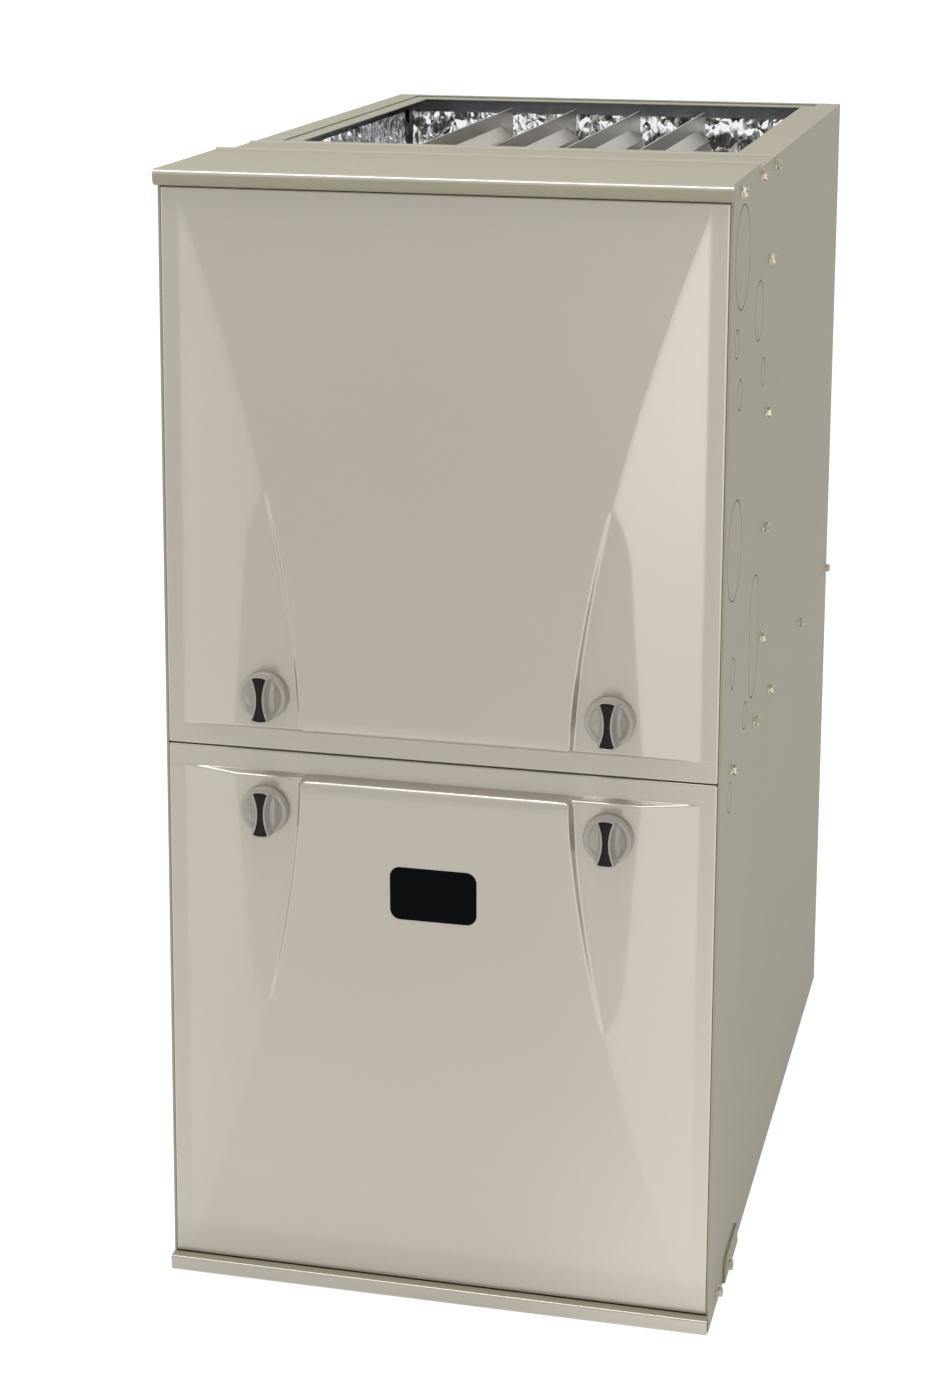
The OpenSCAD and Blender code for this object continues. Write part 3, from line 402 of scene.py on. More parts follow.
def settle(piece: Object, *nodes: str) -> None:
    """Let a piece stand for CAD nodes: it rides on their body, and they are hidden.

    Args:
        piece: The piece.
        nodes: Nodes that it stands for, all on one body.
    """
    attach(piece, BODY_OF[nodes[0]])
    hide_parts(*nodes)
    LOG.info("%s stands for %s", piece.name, ", ".join(nodes))


def thicken(piece: Object, sharp: float = 40.0) -> None:
    """Give a sheet its thickness, inwards from its outer face.

    Args:
        piece: The open sheet.
        sharp: Angle in degrees past which an edge of the wall is not smoothed.
    """
    wall = piece.modifiers.new("sheet", "SOLIDIFY")
    wall.thickness = SHEET
    wall.offset = -1.0
    bake(piece)
    piece.data.set_sharp_from_angle(angle=math.radians(sharp))


def combine(piece: Object, tool: BMesh, operation: str) -> None:
    """Join a shape to a piece or cut it out.

    Args:
        piece: Piece to change.
        tool: Closed shape, which is used up.
        operation: UNION or DIFFERENCE.
    """
    mesh = bpy.data.meshes.new("tool")
    tool.to_mesh(mesh)
    tool.free()
    cutter = bpy.data.objects.new("tool", mesh)
    bpy.context.scene.collection.objects.link(cutter)
    cut = piece.modifiers.new("cut", "BOOLEAN")
    cut.operation = operation
    cut.solver = "EXACT"
    cut.object = cutter
    bake(piece)
    bpy.data.objects.remove(cutter)


def rod(radius: float, low: Vector, high: Vector) -> BMesh:
    """Round bar between two points.

    Args:
        radius: Its radius.
        low: Middle of one end.
        high: Middle of the other end.

    Returns:
        The closed bar.
    """
    shape = bmesh.new()
    along = high - low
    turn = along.to_track_quat("Z", "Y").to_matrix().to_4x4()
    place = Matrix.Translation((low + high) / 2) @ turn
    bmesh.ops.create_cone(shape, cap_ends=True, segments=ROD_SIDES, radius1=radius, radius2=radius,
                          depth=along.length, matrix=place)
    return shape


def slab(low: Vector, high: Vector) -> BMesh:
    """Block between two corners.

    Args:
        low: Corner with the least coordinates.
        high: Corner with the greatest ones.

    Returns:
        The closed block.
    """
    shape = bmesh.new()
    bmesh.ops.create_cube(shape, size=1.0)
    bmesh.ops.scale(shape, vec=high - low, verts=shape.verts)
    bmesh.ops.translate(shape, vec=(low + high) / 2, verts=shape.verts)
    return shape


def add_shape(shape: BMesh, other: BMesh) -> None:
    """Put another shape into a shape.

    Args:
        shape: Shape to change.
        other: Shape to add, which is used up.
    """
    mesh = bpy.data.meshes.new("part")
    other.to_mesh(mesh)
    other.free()
    shape.from_mesh(mesh)
    bpy.data.meshes.remove(mesh)


def swept_profile(points: Profile) -> BMesh:
    """Open sheet of a profile swept across the whole width of the furnace.

    Args:
        points: The profile as depth and height in millimetres.

    Returns:
        The sheet.
    """
    shape = bmesh.new()
    row = [shape.verts.new((-HALF_WIDTH, back(y), z * MM)) for y, z in points]
    edges = [shape.edges.new(pair) for pair in zip(row, row[1:])]
    swept = bmesh.ops.extrude_edge_only(shape, edges=edges)
    moved = [v for v in swept["geom"] if isinstance(v, BMVert)]
    bmesh.ops.translate(shape, vec=(2 * HALF_WIDTH, 0, 0), verts=moved)
    return shape


def arc(centre: Pair, radius: float, start: float, end: float, steps: int = 8) -> Profile:
    """Points of an arc as depth and height, with angles in degrees from straight back."""
    turns = [math.radians(start + (end - start) * k / steps) for k in range(steps + 1)]
    return [(centre[0] + radius * math.cos(a), centre[1] + radius * math.sin(a)) for a in turns]


# Doors


@dataclass
class PressedDoor:
    """A folded sheet door whose middle is pressed out towards its knobs.

    The field rises from its flat end to its knobs. Beside it a wing rises from the border and ends in
    a sunk pocket, and a wall stands at the crease between pocket and field. Shares run from 0 at
    the flat end of the field to 1 at its knobs.

    Attributes:
        node: Name of the door's node.
        field_far: Height above the floor of the field's flat end.
        field_near: Height of its raised end.
        knob_rise: Height of the knobs.
        border: Width of the flat border at each side.
        relief: How far the raised end stands out.
        crease_in: Distance from the border to the crease at the raised end.
        crease_power: How quickly the crease leaves the border.
        crease_least: Least distance between the two.
        pocket_tip: Share at which the pockets begin.
        pocket_floor: Height of a pocket's floor, as a share of the relief.
        pocket_dip: How much higher it is at its tip, as a share of the relief.
        dip_length: Share of the field over which it comes down from there.
        pocket_slope: Slope at which a pocket's floor falls to the border at the knobs.
        pocket_round: Rounding above that slope.
        wing_least: Least width of a wing's sloping part.
        step: Width of the wall at the crease.
        step_ease: How far the wall runs on at its foot and its top.
        bevel: How far before its raised end the field has its full height.
        corner: Radius of the corners of the raised field.
        end_reach: Distance over which the raised end comes up.
        end_round: Rounding at the top of the raised end.
        end_foot: Rounding at its foot.
        border_blend: Rounding where a slope runs out into the border.
        border_reach: How far that rounding reaches past the raised end.
        wing_blend: Rounding between border and wing.
        pocket_blend: Rounding between wing and pocket.
        touch: Distance within which a point counts as past the crease.
        edge_radius: Radius of the folded edges.
        fold: Depth of the folds.
        roll: Mesh lines round a folded edge.
        close_share: Largest share of a gap that the close lines at one of its ends take.
        weld: Distance within which mesh points are joined.
        least_area: Area in square metres below which a face is dropped.
        sharp: Angle in degrees past which an edge is not smoothed.
        knob_across: Distance of the knobs from the middle.
        hole: Radius of the holes for the knobs.
        drill_out: How far before the door the holes' cutter starts.
        drill_length: Length of that cutter.
    """

    node: str
    field_far: float
    field_near: float
    knob_rise: float
    border: float = 15.5
    relief: float = 14.0
    crease_in: float = 97.0
    crease_power: float = 1.62
    crease_least: float = 1.2
    pocket_tip: float = 0.54
    pocket_floor: float = 0.45
    pocket_dip: float = 0.09
    dip_length: float = 0.12
    pocket_slope: float = 2.2
    pocket_round: float = 3.0
    wing_least: float = 0.5
    step: float = 2.6
    step_ease: float = 0.3
    bevel: float = 3.5
    corner: float = 8.0
    end_reach: float = 5.5
    end_round: float = 1.0
    end_foot: float = 0.1
    border_blend: float = 0.3
    border_reach: float = 0.4
    wing_blend: float = 0.12
    pocket_blend: float = 0.25
    touch: float = 0.01
    edge_radius: float = 1.3
    fold: float = 12.0
    roll: int = 5
    close_share: float = 0.33
    weld: float = 0.02
    least_area: float = 1e-10
    sharp: float = 50.0
    knob_across: float = 138.0
    hole: float = 5.3
    drill_out: float = 4.0
    drill_length: float = 30.0

    def __post_init__(self) -> None:
        """Read the door's outline from its node."""
        low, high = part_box(self.node)
        self.half = high.x / MM
        self.ends = (low.z / MM, high.z / MM)
        self.field_half = HALF_WIDTH / MM - self.border
        self.way = 1 if self.field_far > self.field_near else -1
        self.length = abs(self.field_far - self.field_near) - self.bevel

    def share(self, z: float) -> float:
        """How far up the pressed field a height lies, from its flat end at 0 to its knobs at 1."""
        return min(1.0, max(0.0, (self.field_far - z) * self.way / self.length))

    def crease(self, t: float) -> float:
        """Distance of the crease from the middle, at a share of the field."""
        return self.field_half - max(self.crease_least, self.crease_in * (1 - (1 - t) ** self.crease_power))

    def floor(self, t: float) -> float:
        """Height of the pocket beside the crease.

        Args:
            t: Share of the field.

        Returns:
            The height, which is the field's own before the pocket begins.
        """
        dip = max(0.0, 1 - max(0.0, t - self.pocket_tip) / self.dip_length) ** 2
        level = self.relief * (self.pocket_floor + self.pocket_dip * dip)
        return self.relief * t if t < self.pocket_tip else min(self.relief * t, level)

    def pocket_edge(self, t: float) -> float:
        """Distance from the middle at which the wing meets the pocket's floor.

        Args:
            t: Share of the field.

        Returns:
            The distance.
        """
        span = self.field_half - self.crease(t)
        rise = self.relief * t
        share = self.floor(t) / rise if rise > 0 else 1.0
        return self.field_half - span * min(share, 1 - self.wing_least / span)

    def end_wall(self, deep: float) -> float:
        """Share of its full height that the field has at a distance inside its well rounded knob end."""
        return soft_max(soft_min(deep / self.end_reach, 1.0, self.end_round), 0.0, self.end_foot)

    def height(self, x: float, z: float) -> float:
        """How far the door stands out in front of its border.

        Args:
            x: Distance from the middle.
            z: Height above the floor.

        Returns:
            The height of the pressing.
        """
        t = self.share(z)
        rise = self.relief * t
        across = abs(x)
        crease = self.crease(t)
        inside = (z - self.field_near) * self.way
        ground = self.floor(t)
        if across > crease - self.touch:
            wing = rise * (self.field_half - across) / (self.field_half - crease)
            ground = soft_min(soft_max(wing, 0.0, self.wing_blend), ground, self.pocket_blend)
        if inside > -self.border_reach:
            ground = soft_min(ground, inside * self.pocket_slope, self.pocket_round)
            ground = soft_max(ground, 0.0, self.border_blend)
        else:
            ground = 0.0
        beside = crease - across
        if beside < self.corner and inside < self.corner:
            deep = self.corner - math.hypot(self.corner - beside, self.corner - inside)
        else:
            deep = min(beside, inside)
        along = ramp(inside - beside, -self.corner, self.corner)
        step = ramp(deep, -self.step_ease, self.step + self.step_ease)
        wall = along * step + (1 - along) * self.end_wall(deep)
        return ground + max(0.0, rise - ground) * wall

    def cluster(self, start: float, end: float, cuts: int, offsets: tuple[float, ...]) -> list[float]:
        """Places from start up to, but without, end, closer together near both.

        Args:
            start: First place.
            end: Place to stop before.
            cuts: Even places in the middle.
            offsets: Distances from each end, which shrink where there is little room.

        Returns:
            The places in order.
        """
        gap = end - start
        squeeze = min(1.0, self.close_share * abs(gap) / offsets[-1])
        sign = math.copysign(1.0, gap)
        near = [start + sign * o * squeeze for o in offsets]
        far = [end - sign * o * squeeze for o in reversed(offsets)]
        middle = [near[-1] + (far[0] - near[-1]) * (k + 1) / (cuts + 1) for k in range(cuts)]
        return [start, *near, *middle, *far]

    def chain(self, stops: Stops, last: float) -> list[float]:
        """Places from the first stop up to, but without, the last place, closer together at each stop.

        Args:
            stops: Place of each stop, with the even and the close places between it and the next.
            last: Place to stop before.

        Returns:
            The places in order.
        """
        ends = [stop[0] for stop in stops[1:]] + [last]
        return [place for (start, cuts, offsets), end in zip(stops, ends)
                for place in self.cluster(start, end, cuts, offsets)]

    def columns(self, t: float) -> list[float]:
        """Places of the mesh columns across the door.

        Args:
            t: Share of the field.

        Returns:
            The places from the left flat edge to the right one.
        """
        half = self.chain(((self.half - self.edge_radius, 1, (0.5, 1.2, 2.5)),
                           (self.field_half, 8, (0.5, 1.2, 2.5)),
                           (self.pocket_edge(t), 3, (0.6, 1.5, 3.0)),
                           (self.crease(t), 2, (0.5, 1.0)),
                           (self.crease(t) - self.step, 9, (0.5, 1.2, 2.2, 3.6, 5.4))), 0.0)
        return [-x for x in half] + [0.0] + half[::-1]

    def rows(self) -> list[float]:
        """Heights of the mesh rows.

        Returns:
            The heights from the bottom flat edge to the top one.
        """
        low, high = self.ends[0] + self.edge_radius, self.ends[1] - self.edge_radius
        near_edge, far_edge = (low, high) if self.way > 0 else (high, low)
        raised = self.field_near + self.way * self.bevel
        tip = self.field_far - self.way * self.length * self.pocket_tip
        places = self.chain(((far_edge, 1, (0.5, 1.2)),
                             (self.field_far, 44, (0.5, 1.2, 2.5)),
                             (tip, 46, (0.4, 0.9, 1.6, 2.6, 4.0, 6.0)),
                             (raised, 5, (0.3, 0.6)),
                             (self.field_near, 2, (0.3, 0.6, 1.2))), near_edge)
        return sorted([*places, near_edge])

    def skin(self) -> BMesh:
        """Outer face of the door with its rounded edges and folds.

        Returns:
            The open sheet.
        """
        heights = self.rows()
        across = [self.columns(self.share(z)) for z in heights]
        margin = self.roll + 1
        wide = len(across[0]) + 2 * margin
        tall = len(heights) + 2 * margin
        shape = bmesh.new()
        bmesh.ops.create_grid(shape, x_segments=wide - 1, y_segments=tall - 1, size=GRID_HALF)
        for vert in shape.verts:
            i = round((vert.co.x + GRID_HALF) * (wide - 1)) - margin
            j = round((vert.co.y + GRID_HALF) * (tall - 1)) - margin
            row = min(max(j, 0), len(heights) - 1)
            column = across[row][min(max(i, 0), len(across[row]) - 1)]
            side = self.past(i, len(across[row]))
            end = self.past(j, len(heights))
            vert.co = self.rolled(column, heights[row], side, end)
        bmesh.ops.remove_doubles(shape, verts=shape.verts, dist=self.weld * MM)
        flat = [f for f in shape.faces if f.calc_area() < self.least_area]
        bmesh.ops.delete(shape, geom=flat, context="FACES_ONLY")
        bmesh.ops.recalc_face_normals(shape, faces=shape.faces)
        if sum(f.normal.y * f.calc_area() for f in shape.faces) > 0:
            bmesh.ops.reverse_faces(shape, faces=shape.faces)
        return shape

    def past(self, index: int, count: int) -> int:
        """Signed number of mesh lines past the flat part.

        Args:
            index: Number of the line, from 0 at the first line of the flat part.
            count: Lines of the flat part.

        Returns:
            Up to roll for the arc, and one more for the fold.
        """
        if index < 0:
            return max(index, -self.roll - 1)
        return min(index - count + 1, self.roll + 1) if index >= count else 0

    def rolled(self, x: float, z: float, side: int, end: int) -> Vector:
        """Place of a mesh point, with the arcs and folds at the edges.

        Args:
            x: Place across the flat part.
            z: Height on the flat part.
            side: Lines past the flat part, across.
            end: Lines past the flat part, up or down.

        Returns:
            The point in the part's frame.
        """
        turn = [min(abs(k), self.roll) / self.roll * math.pi / 2 for k in (side, end)]
        arrow = Vector((math.copysign(math.sin(turn[0]), side), math.copysign(math.sin(turn[1]), end),
                        math.cos(turn[0]) * math.cos(turn[1])))
        arrow.normalize()
        radius = self.edge_radius if side or end else 0.0
        deep = self.fold - self.edge_radius if max(abs(side), abs(end)) > self.roll else 0.0
        y = radius * (1 - arrow.z) + deep - self.height(x, z)
        return Vector(((x + radius * arrow.x) * MM, back(y), (z + radius * arrow.y) * MM))

    def build(self) -> Object:
        """Make the door and cut its knob holes.

        Returns:
            The door, which doesn't stand for its node yet.
        """
        door = as_piece(self.skin(), self.node + "_pressing", [DOOR_PAINT], self.sharp)
        thicken(door, self.sharp)
        start = back(-self.relief - self.drill_out)
        for side in (-1, 1):
            low = Vector((side * self.knob_across * MM, start, self.knob_rise * MM))
            high = low + Vector((0, self.drill_length * MM, 0))
            combine(door, rod(self.hole * MM, low, high), "DIFFERENCE")
        return door


@dataclass
class SightGlass:
    """Dark window in the lower door, tilted with the pressed field.

    Attributes:
        door: The door that carries it.
        rise: Height of its middle.
        width: Width of the glass.
        height: Height of the glass.
        corner: Radius of its corners.
        corner_steps: Faces round a corner.
        proud: How far it stands out.
        rear: Depth of its rear face.
        edge: Rounding of its edges.
        steep: Angle in radians past which an edge is rounded.
        gap: Gap between the glass and the door.
        cut: How far the opening's cutter reaches before and behind the door's face.
        seal: How much larger the gasket is all round, and the depths of its two faces.
    """

    door: PressedDoor
    rise: float = 348.5
    width: float = 69.0
    height: float = 43.0
    corner: float = 8.0
    corner_steps: int = 10
    proud: float = 1.0
    rear: float = 1.7
    edge: float = 0.7
    steep: float = 1.0
    gap: float = 0.5
    cut: float = 6.0
    seal: Triple = (3.6, 1.75, 3.0)

    def plate(self, grow: float, front: float, rear: float) -> BMesh:
        """Rounded plate on the sloping field, from front to rear of its face.

        Args:
            grow: How much larger than the glass it is all round.
            front: Depth of its front face behind the field, negative towards the viewer.
            rear: Depth of its rear face.

        Returns:
            The closed plate.
        """
        shape = bmesh.new()
        bmesh.ops.create_grid(shape, x_segments=1, y_segments=1, size=GRID_HALF)
        size = Vector(((self.width + 2 * grow) * MM, (self.height + 2 * grow) * MM, 1.0))
        bmesh.ops.scale(shape, vec=size, verts=shape.verts)
        bmesh.ops.bevel(shape, geom=shape.verts[:], offset=(self.corner + grow) * MM,
                        segments=self.corner_steps, profile=0.5, affect="VERTICES", material=-1)
        sheet = bmesh.ops.extrude_face_region(shape, geom=shape.faces[:])
        moved = [v for v in sheet["geom"] if isinstance(v, BMVert)]
        bmesh.ops.translate(shape, vec=(0, 0, (rear - front) * MM), verts=moved)
        bmesh.ops.recalc_face_normals(shape, faces=shape.faces)
        tilt = math.atan(self.door.relief / self.door.length)
        lift = self.door.relief * self.door.share(self.rise)
        place = Matrix.Translation((0, back(-lift), self.rise * MM)) @ Matrix.Rotation(tilt, 4, "X")
        place = place @ Matrix.Translation((0, front * MM, 0)) @ Matrix.Rotation(math.radians(-90), 4, "X")
        bmesh.ops.transform(shape, matrix=place, verts=shape.verts)
        return shape

    def build(self, carrier: Object) -> None:
        """Cut the opening in the door and set the glass in its gasket.

        Args:
            carrier: The door's piece.
        """
        combine(carrier, self.plate(self.gap, -self.cut, self.cut), "DIFFERENCE")
        glass = self.plate(0.0, -self.proud, self.rear)
        rim = [e for e in glass.edges if e.calc_face_angle(0) > self.steep]
        round_edges(glass, rim, self.edge, 3)
        settle(as_piece(glass, "sight_glass_pane", [WINDOW], sharp=60), "sight_glass")
        seal = as_piece(self.plate(*self.seal), "sight_glass_gasket", [GASKET])
        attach(seal, BODY_OF["sight_glass"])


@dataclass
class DoorKnob:
    """Quarter-turn knob with a raised waisted grip, its black inlay, its stem and its latch bar.

    Attributes:
        node: Name of the knob's node.
        across: Place of its axis along X.
        rise: Height of its axis.
        disc_profile: Radius and height above the seat round the disc.
        disc_steps: Faces round the disc.
        disc_weld: Distance within which points of the disc are joined.
        radius: Radius of the disc.
        seat: Height of the disc's underside before the doors' flat face.
        face: Height of the grip's top before it.
        grip_length: Length of the grip.
        side_share: Share of that length that its curved sides take.
        cap_share: Share that its rounded ends take.
        side_steps: Faces along a side.
        cap_angles: Angles of the points round an end, in degrees.
        rim_gap: Distance that the grip keeps from the disc's edge.
        waist: Least width of the grip.
        curve: Radius of its hollow sides.
        flares: Height of a ring round the grip and how far it spreads there.
        shoulder: Drop below the top of a ring at its edge, and how far it lies inside.
        lip: Width of the edge round the inlay.
        lip_round: Rounding of the lip's inner edge.
        recess: Depth of the recess for the inlay.
        recess_draft: How much narrower the recess is at its floor.
        inlay_lift: Gap under the inlay.
        inlay_edge: Drop below the top of the inlay's upper rings, and how far they lie inside the lip.
        stem_radius: Radius of the stem.
        stem_start: How far behind the disc's underside the stem starts.
        bar_half: Half of the latch bar's width.
        bar_depths: Distances of its two faces from the knob's rear end.
        bar_edge: Rounding of its edges.
        sharp: Angle in degrees past which an edge of the joined knob is not smoothed.
    """

    node: str
    across: float
    rise: float
    disc_profile: tuple[Pair, ...] = (
        (0, 0), (18.6, 0), (19.4, 0.8), (19.5, 3.2), (19.35, 4.8), (18.8, 6.1), (18.0, 6.9), (17.0, 7.25),
        (16.0, 7.1), (15.0, 6.5), (14.0, 5.9), (12.0, 5.3), (9.0, 4.9), (4.5, 4.8), (0, 4.8))
    disc_steps: int = 72
    disc_weld: float = 0.01
    radius: float = 19.5
    seat: float = 6.6
    face: float = 22.3
    grip_length: float = 39.0
    side_share: float = 0.93
    cap_share: float = 0.07
    side_steps: int = 18
    cap_angles: tuple[int, ...] = (25, 50, 70, 90, 110, 130, 155)
    rim_gap: float = 0.7
    waist: float = 7.8
    curve: float = 42.0
    flares: tuple[Pair, ...] = ((2.0, 5.4), (5.4, 5.0), (6.2, 3.4), (8.0, 1.7), (10.5, 0.8), (13.5, 0.25))
    shoulder: tuple[Pair, ...] = ((0.6, 0.0), (0.15, 0.25), (0.0, 0.7))
    lip: float = 1.6
    lip_round: float = 0.3
    recess: float = 1.6
    recess_draft: float = 0.1
    inlay_lift: float = 0.05
    inlay_edge: tuple[Pair, Pair] = ((0.9, 0.15), (0.6, 0.6))
    stem_radius: float = 5.0
    stem_start: float = 1.5
    bar_half: float = 4.0
    bar_depths: Pair = (4.5, 0.5)
    bar_edge: float = 0.6
    sharp: float = 40.0

    def __post_init__(self) -> None:
        """Work out where the grip ends above the seat."""
        self.top = self.face - self.seat

    def half_grip(self, along: float) -> float:
        """Half of the grip's width at a distance from its middle."""
        return self.waist / 2 + self.curve - math.sqrt(self.curve**2 - along**2)

    def place(self) -> Matrix:
        """Turn and move from the knob's own axes, front along +Z, to the furnace."""
        stand = Matrix.Rotation(math.radians(90), 4, "X")
        return Matrix.Translation((self.across * MM, back(-self.seat), self.rise * MM)) @ stand

    def disc(self) -> BMesh:
        """Round body with a domed rim and a scooped face.

        Returns:
            The closed shape, in the knob's own axes.
        """
        shape = bmesh.new()
        verts = [shape.verts.new((r * MM, 0, h * MM)) for r, h in self.disc_profile]
        edges = [shape.edges.new(pair) for pair in zip(verts, verts[1:])]
        bmesh.ops.spin(shape, geom=verts + edges, cent=(0, 0, 0), axis=(0, 0, 1), angle=math.tau,
                       steps=self.disc_steps, use_merge=True)
        bmesh.ops.remove_doubles(shape, verts=shape.verts, dist=self.disc_weld * MM)
        bmesh.ops.recalc_face_normals(shape, faces=shape.faces)
        return shape

    def outline(self, shape: BMesh, level: float, flare: float, shrink: float) -> list[BMVert]:
        """Ring of points round the grip.

        Args:
            shape: Shape that takes the points.
            level: Height above the seat.
            flare: How far the sides spread.
            shrink: How far the ring lies inside the grip's own outline.

        Returns:
            The new points in order.
        """
        reach = self.grip_length / 2 - shrink
        steps = self.side_steps
        side = [reach * self.side_share * (2 * k / steps - 1) for k in range(steps + 1)]
        right = [(self.half_grip(a) - shrink + flare, a) for a in side]
        end = self.half_grip(reach * self.side_share) - shrink + flare
        cap = [(end * math.cos(q), reach * (self.side_share + self.cap_share * math.sin(q)))
               for q in (math.radians(d) for d in self.cap_angles)]
        left = [(-x, -y) for x, y in right]
        lower = [(-x, -y) for x, y in cap]
        ring = [Vector((x * MM, y * MM, level * MM)) for x, y in right + cap + left + lower]
        limit = (self.radius - self.rim_gap) * MM
        for point in ring:
            far = math.hypot(point.x, point.y)
            if far > limit:
                point.x *= limit / far
                point.y *= limit / far
        return [shape.verts.new(point) for point in ring]

    def stack(self, levels: list[Triple]) -> BMesh:
        """Shape through several rings round the grip.

        Args:
            levels: Height, flare and shrink of each ring, from the lowest to the last.

        Returns:
            The closed shape, in the knob's own axes.
        """
        shape = bmesh.new()
        rings = [self.outline(shape, *level) for level in levels]
        for low, high in zip(rings, rings[1:]):
            for k in range(len(low)):
                after = (k + 1) % len(low)
                shape.faces.new((low[k], low[after], high[after], high[k]))
        shape.faces.new(rings[0])
        shape.faces.new(rings[-1])
        bmesh.ops.recalc_face_normals(shape, faces=shape.faces)
        return shape

    def grip(self) -> BMesh:
        """Raised grip whose sides flare into the scooped face, with the recess for its inlay.

        Returns:
            The closed shape, in the knob's own axes.
        """
        rim = ((0.0, self.lip - self.lip_round), (self.lip_round, self.lip),
               (self.recess, self.lip + self.recess_draft))
        levels = [(height, flare, 0.0) for height, flare in self.flares]
        return self.stack(levels + [(self.top - drop, 0.0, shrink) for drop, shrink in self.shoulder + rim])

    def inlay(self) -> BMesh:
        """Black insert that fills the recess up to a little below the lip.

        Returns:
            The closed shape, in the knob's own axes.
        """
        levels = [(self.top - self.recess + self.inlay_lift, 0.0, self.lip + self.inlay_edge[0][1])]
        levels += [(self.top - drop, 0.0, self.lip + inside) for drop, inside in self.inlay_edge]
        return self.stack(levels)

    def build(self) -> None:
        """Join disc, grip, stem and latch bar, and set the inlay in the grip."""
        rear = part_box(self.node)[1].y
        knob = as_piece(self.disc(), self.node + "_moulding", [KNOB_PLASTIC], sharp=50)
        combine(knob, self.grip(), "UNION")
        knob.data.transform(self.place())
        axis = Vector((self.across * MM, back(-self.seat + self.stem_start), self.rise * MM))
        combine(knob, rod(self.stem_radius * MM, axis, Vector((axis.x, rear, axis.z))), "UNION")
        foot = low_bar(self.node).z
        front, end = self.bar_depths
        bar = slab(Vector((axis.x - self.bar_half * MM, rear - front * MM, foot)),
                   Vector((axis.x + self.bar_half * MM, rear - end * MM, 2 * axis.z - foot)))
        soften(bar, self.bar_edge)
        combine(knob, bar, "UNION")
        knob.data.shade_smooth()
        knob.data.set_sharp_from_angle(angle=math.radians(self.sharp))
        settle(knob, self.node)
        inlay = self.inlay()
        bmesh.ops.transform(inlay, matrix=self.place(), verts=inlay.verts)
        insert = as_piece(inlay, self.node + "_inlay", [INLAY_AND_SLOT_SHADE])
        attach(insert, BODY_OF[self.node])


def low_bar(node: str, behind: float = 14.0) -> Vector:
    """Lowest point of a knob's latch bar, which lies more than some millimetres behind the door's face."""
    inside = [v.co for v in frame["nodes"][node].data.vertices if v.co.y > back(behind)]
    return min(inside, key=lambda point: point.z)


# Casing


@dataclass(frozen=True)
class WasherScrew:
    """Hex washer head screw whose cross slot is a black cross of painted shade set flush into its head.

    Attributes:
        seat: Middle of the washer's underside, in metres.
        side: 1 on the right panel, -1 on the left.
        turn: How far it is turned, in degrees.
        washer: Radius of the washer's underside and of its top.
        washer_sides: Faces round the washer.
        washer_height: Height of the washer.
        head: Radius of the head's corners.
        head_height: Height of the head.
        head_middle: Height of its middle above the seat.
        head_edge: Rounding of its top.
        shank: Radius of the shank.
        shank_sides: Faces round the shank.
        shank_length: Length of the shank.
        shank_middle: Height of its middle above the seat, negative as it lies behind it.
        slot_low: Corner with the least coordinates of a block that is painted black as the shade of a slot.
        slot_high: Its opposite corner.
    """

    seat: Vector
    side: float
    turn: float
    washer: Pair = (5.4, 5.0)
    washer_sides: int = 24
    washer_height: float = 0.9
    head: float = 4.3
    head_height: float = 3.4
    head_middle: float = 2.5
    head_edge: float = 0.5
    shank: float = 1.9
    shank_sides: int = 12
    shank_length: float = 8.0
    shank_middle: float = -3.8
    slot_low: Triple = (-2.6, -0.55, 3.9)
    slot_high: Triple = (2.6, 0.55, 4.25)

    @staticmethod
    def add_cone(shape: BMesh, sides: int, radii: Pair, height: float, middle: float) -> None:
        """Add an upright round or many-sided body to the screw.

        Args:
            shape: Shape to change.
            sides: Number of its sides.
            radii: Radius at its foot and at its top.
            height: Its height.
            middle: Height of its middle above the seat.
        """
        bmesh.ops.create_cone(shape, cap_ends=True, segments=sides, radius1=radii[0] * MM,
                              radius2=radii[1] * MM, depth=height * MM,
                              matrix=Matrix.Translation((0, 0, middle * MM)))

    def build(self) -> BMesh:
        """Make the screw and set it on its panel.

        Returns:
            The closed shapes of the screw, with the slots as blocks in the black of the knobs' inlays,
            painted shade.
        """
        shape = bmesh.new()
        self.add_cone(shape, self.washer_sides, self.washer, self.washer_height, self.washer_height / 2)
        self.add_cone(shape, 6, (self.head, self.head), self.head_height, self.head_middle)
        tops = [e for e in shape.edges if all(v.co.z > self.head_middle * MM for v in e.verts)]
        round_edges(shape, tops, self.head_edge, 2)
        self.add_cone(shape, self.shank_sides, (self.shank, self.shank), self.shank_length, self.shank_middle)
        # The cross slot isn't cut: two black blocks at the head's top stand for its shade, painted shade.
        for turn in (0, 90):
            slot = slab(Vector([a * MM for a in self.slot_low]), Vector([a * MM for a in self.slot_high]))
            bmesh.ops.rotate(slot, matrix=Matrix.Rotation(math.radians(turn), 3, "Z"), verts=slot.verts)
            for face in slot.faces:
                face.material_index = 1
            add_shape(shape, slot)
        face_out = Matrix.Rotation(math.radians(90 * self.side), 4, "Y")
        matrix = Matrix.Translation(self.seat) @ face_out @ Matrix.Rotation(math.radians(self.turn), 4, "Z")
        bmesh.ops.transform(shape, matrix=matrix, verts=shape.verts)
        return shape


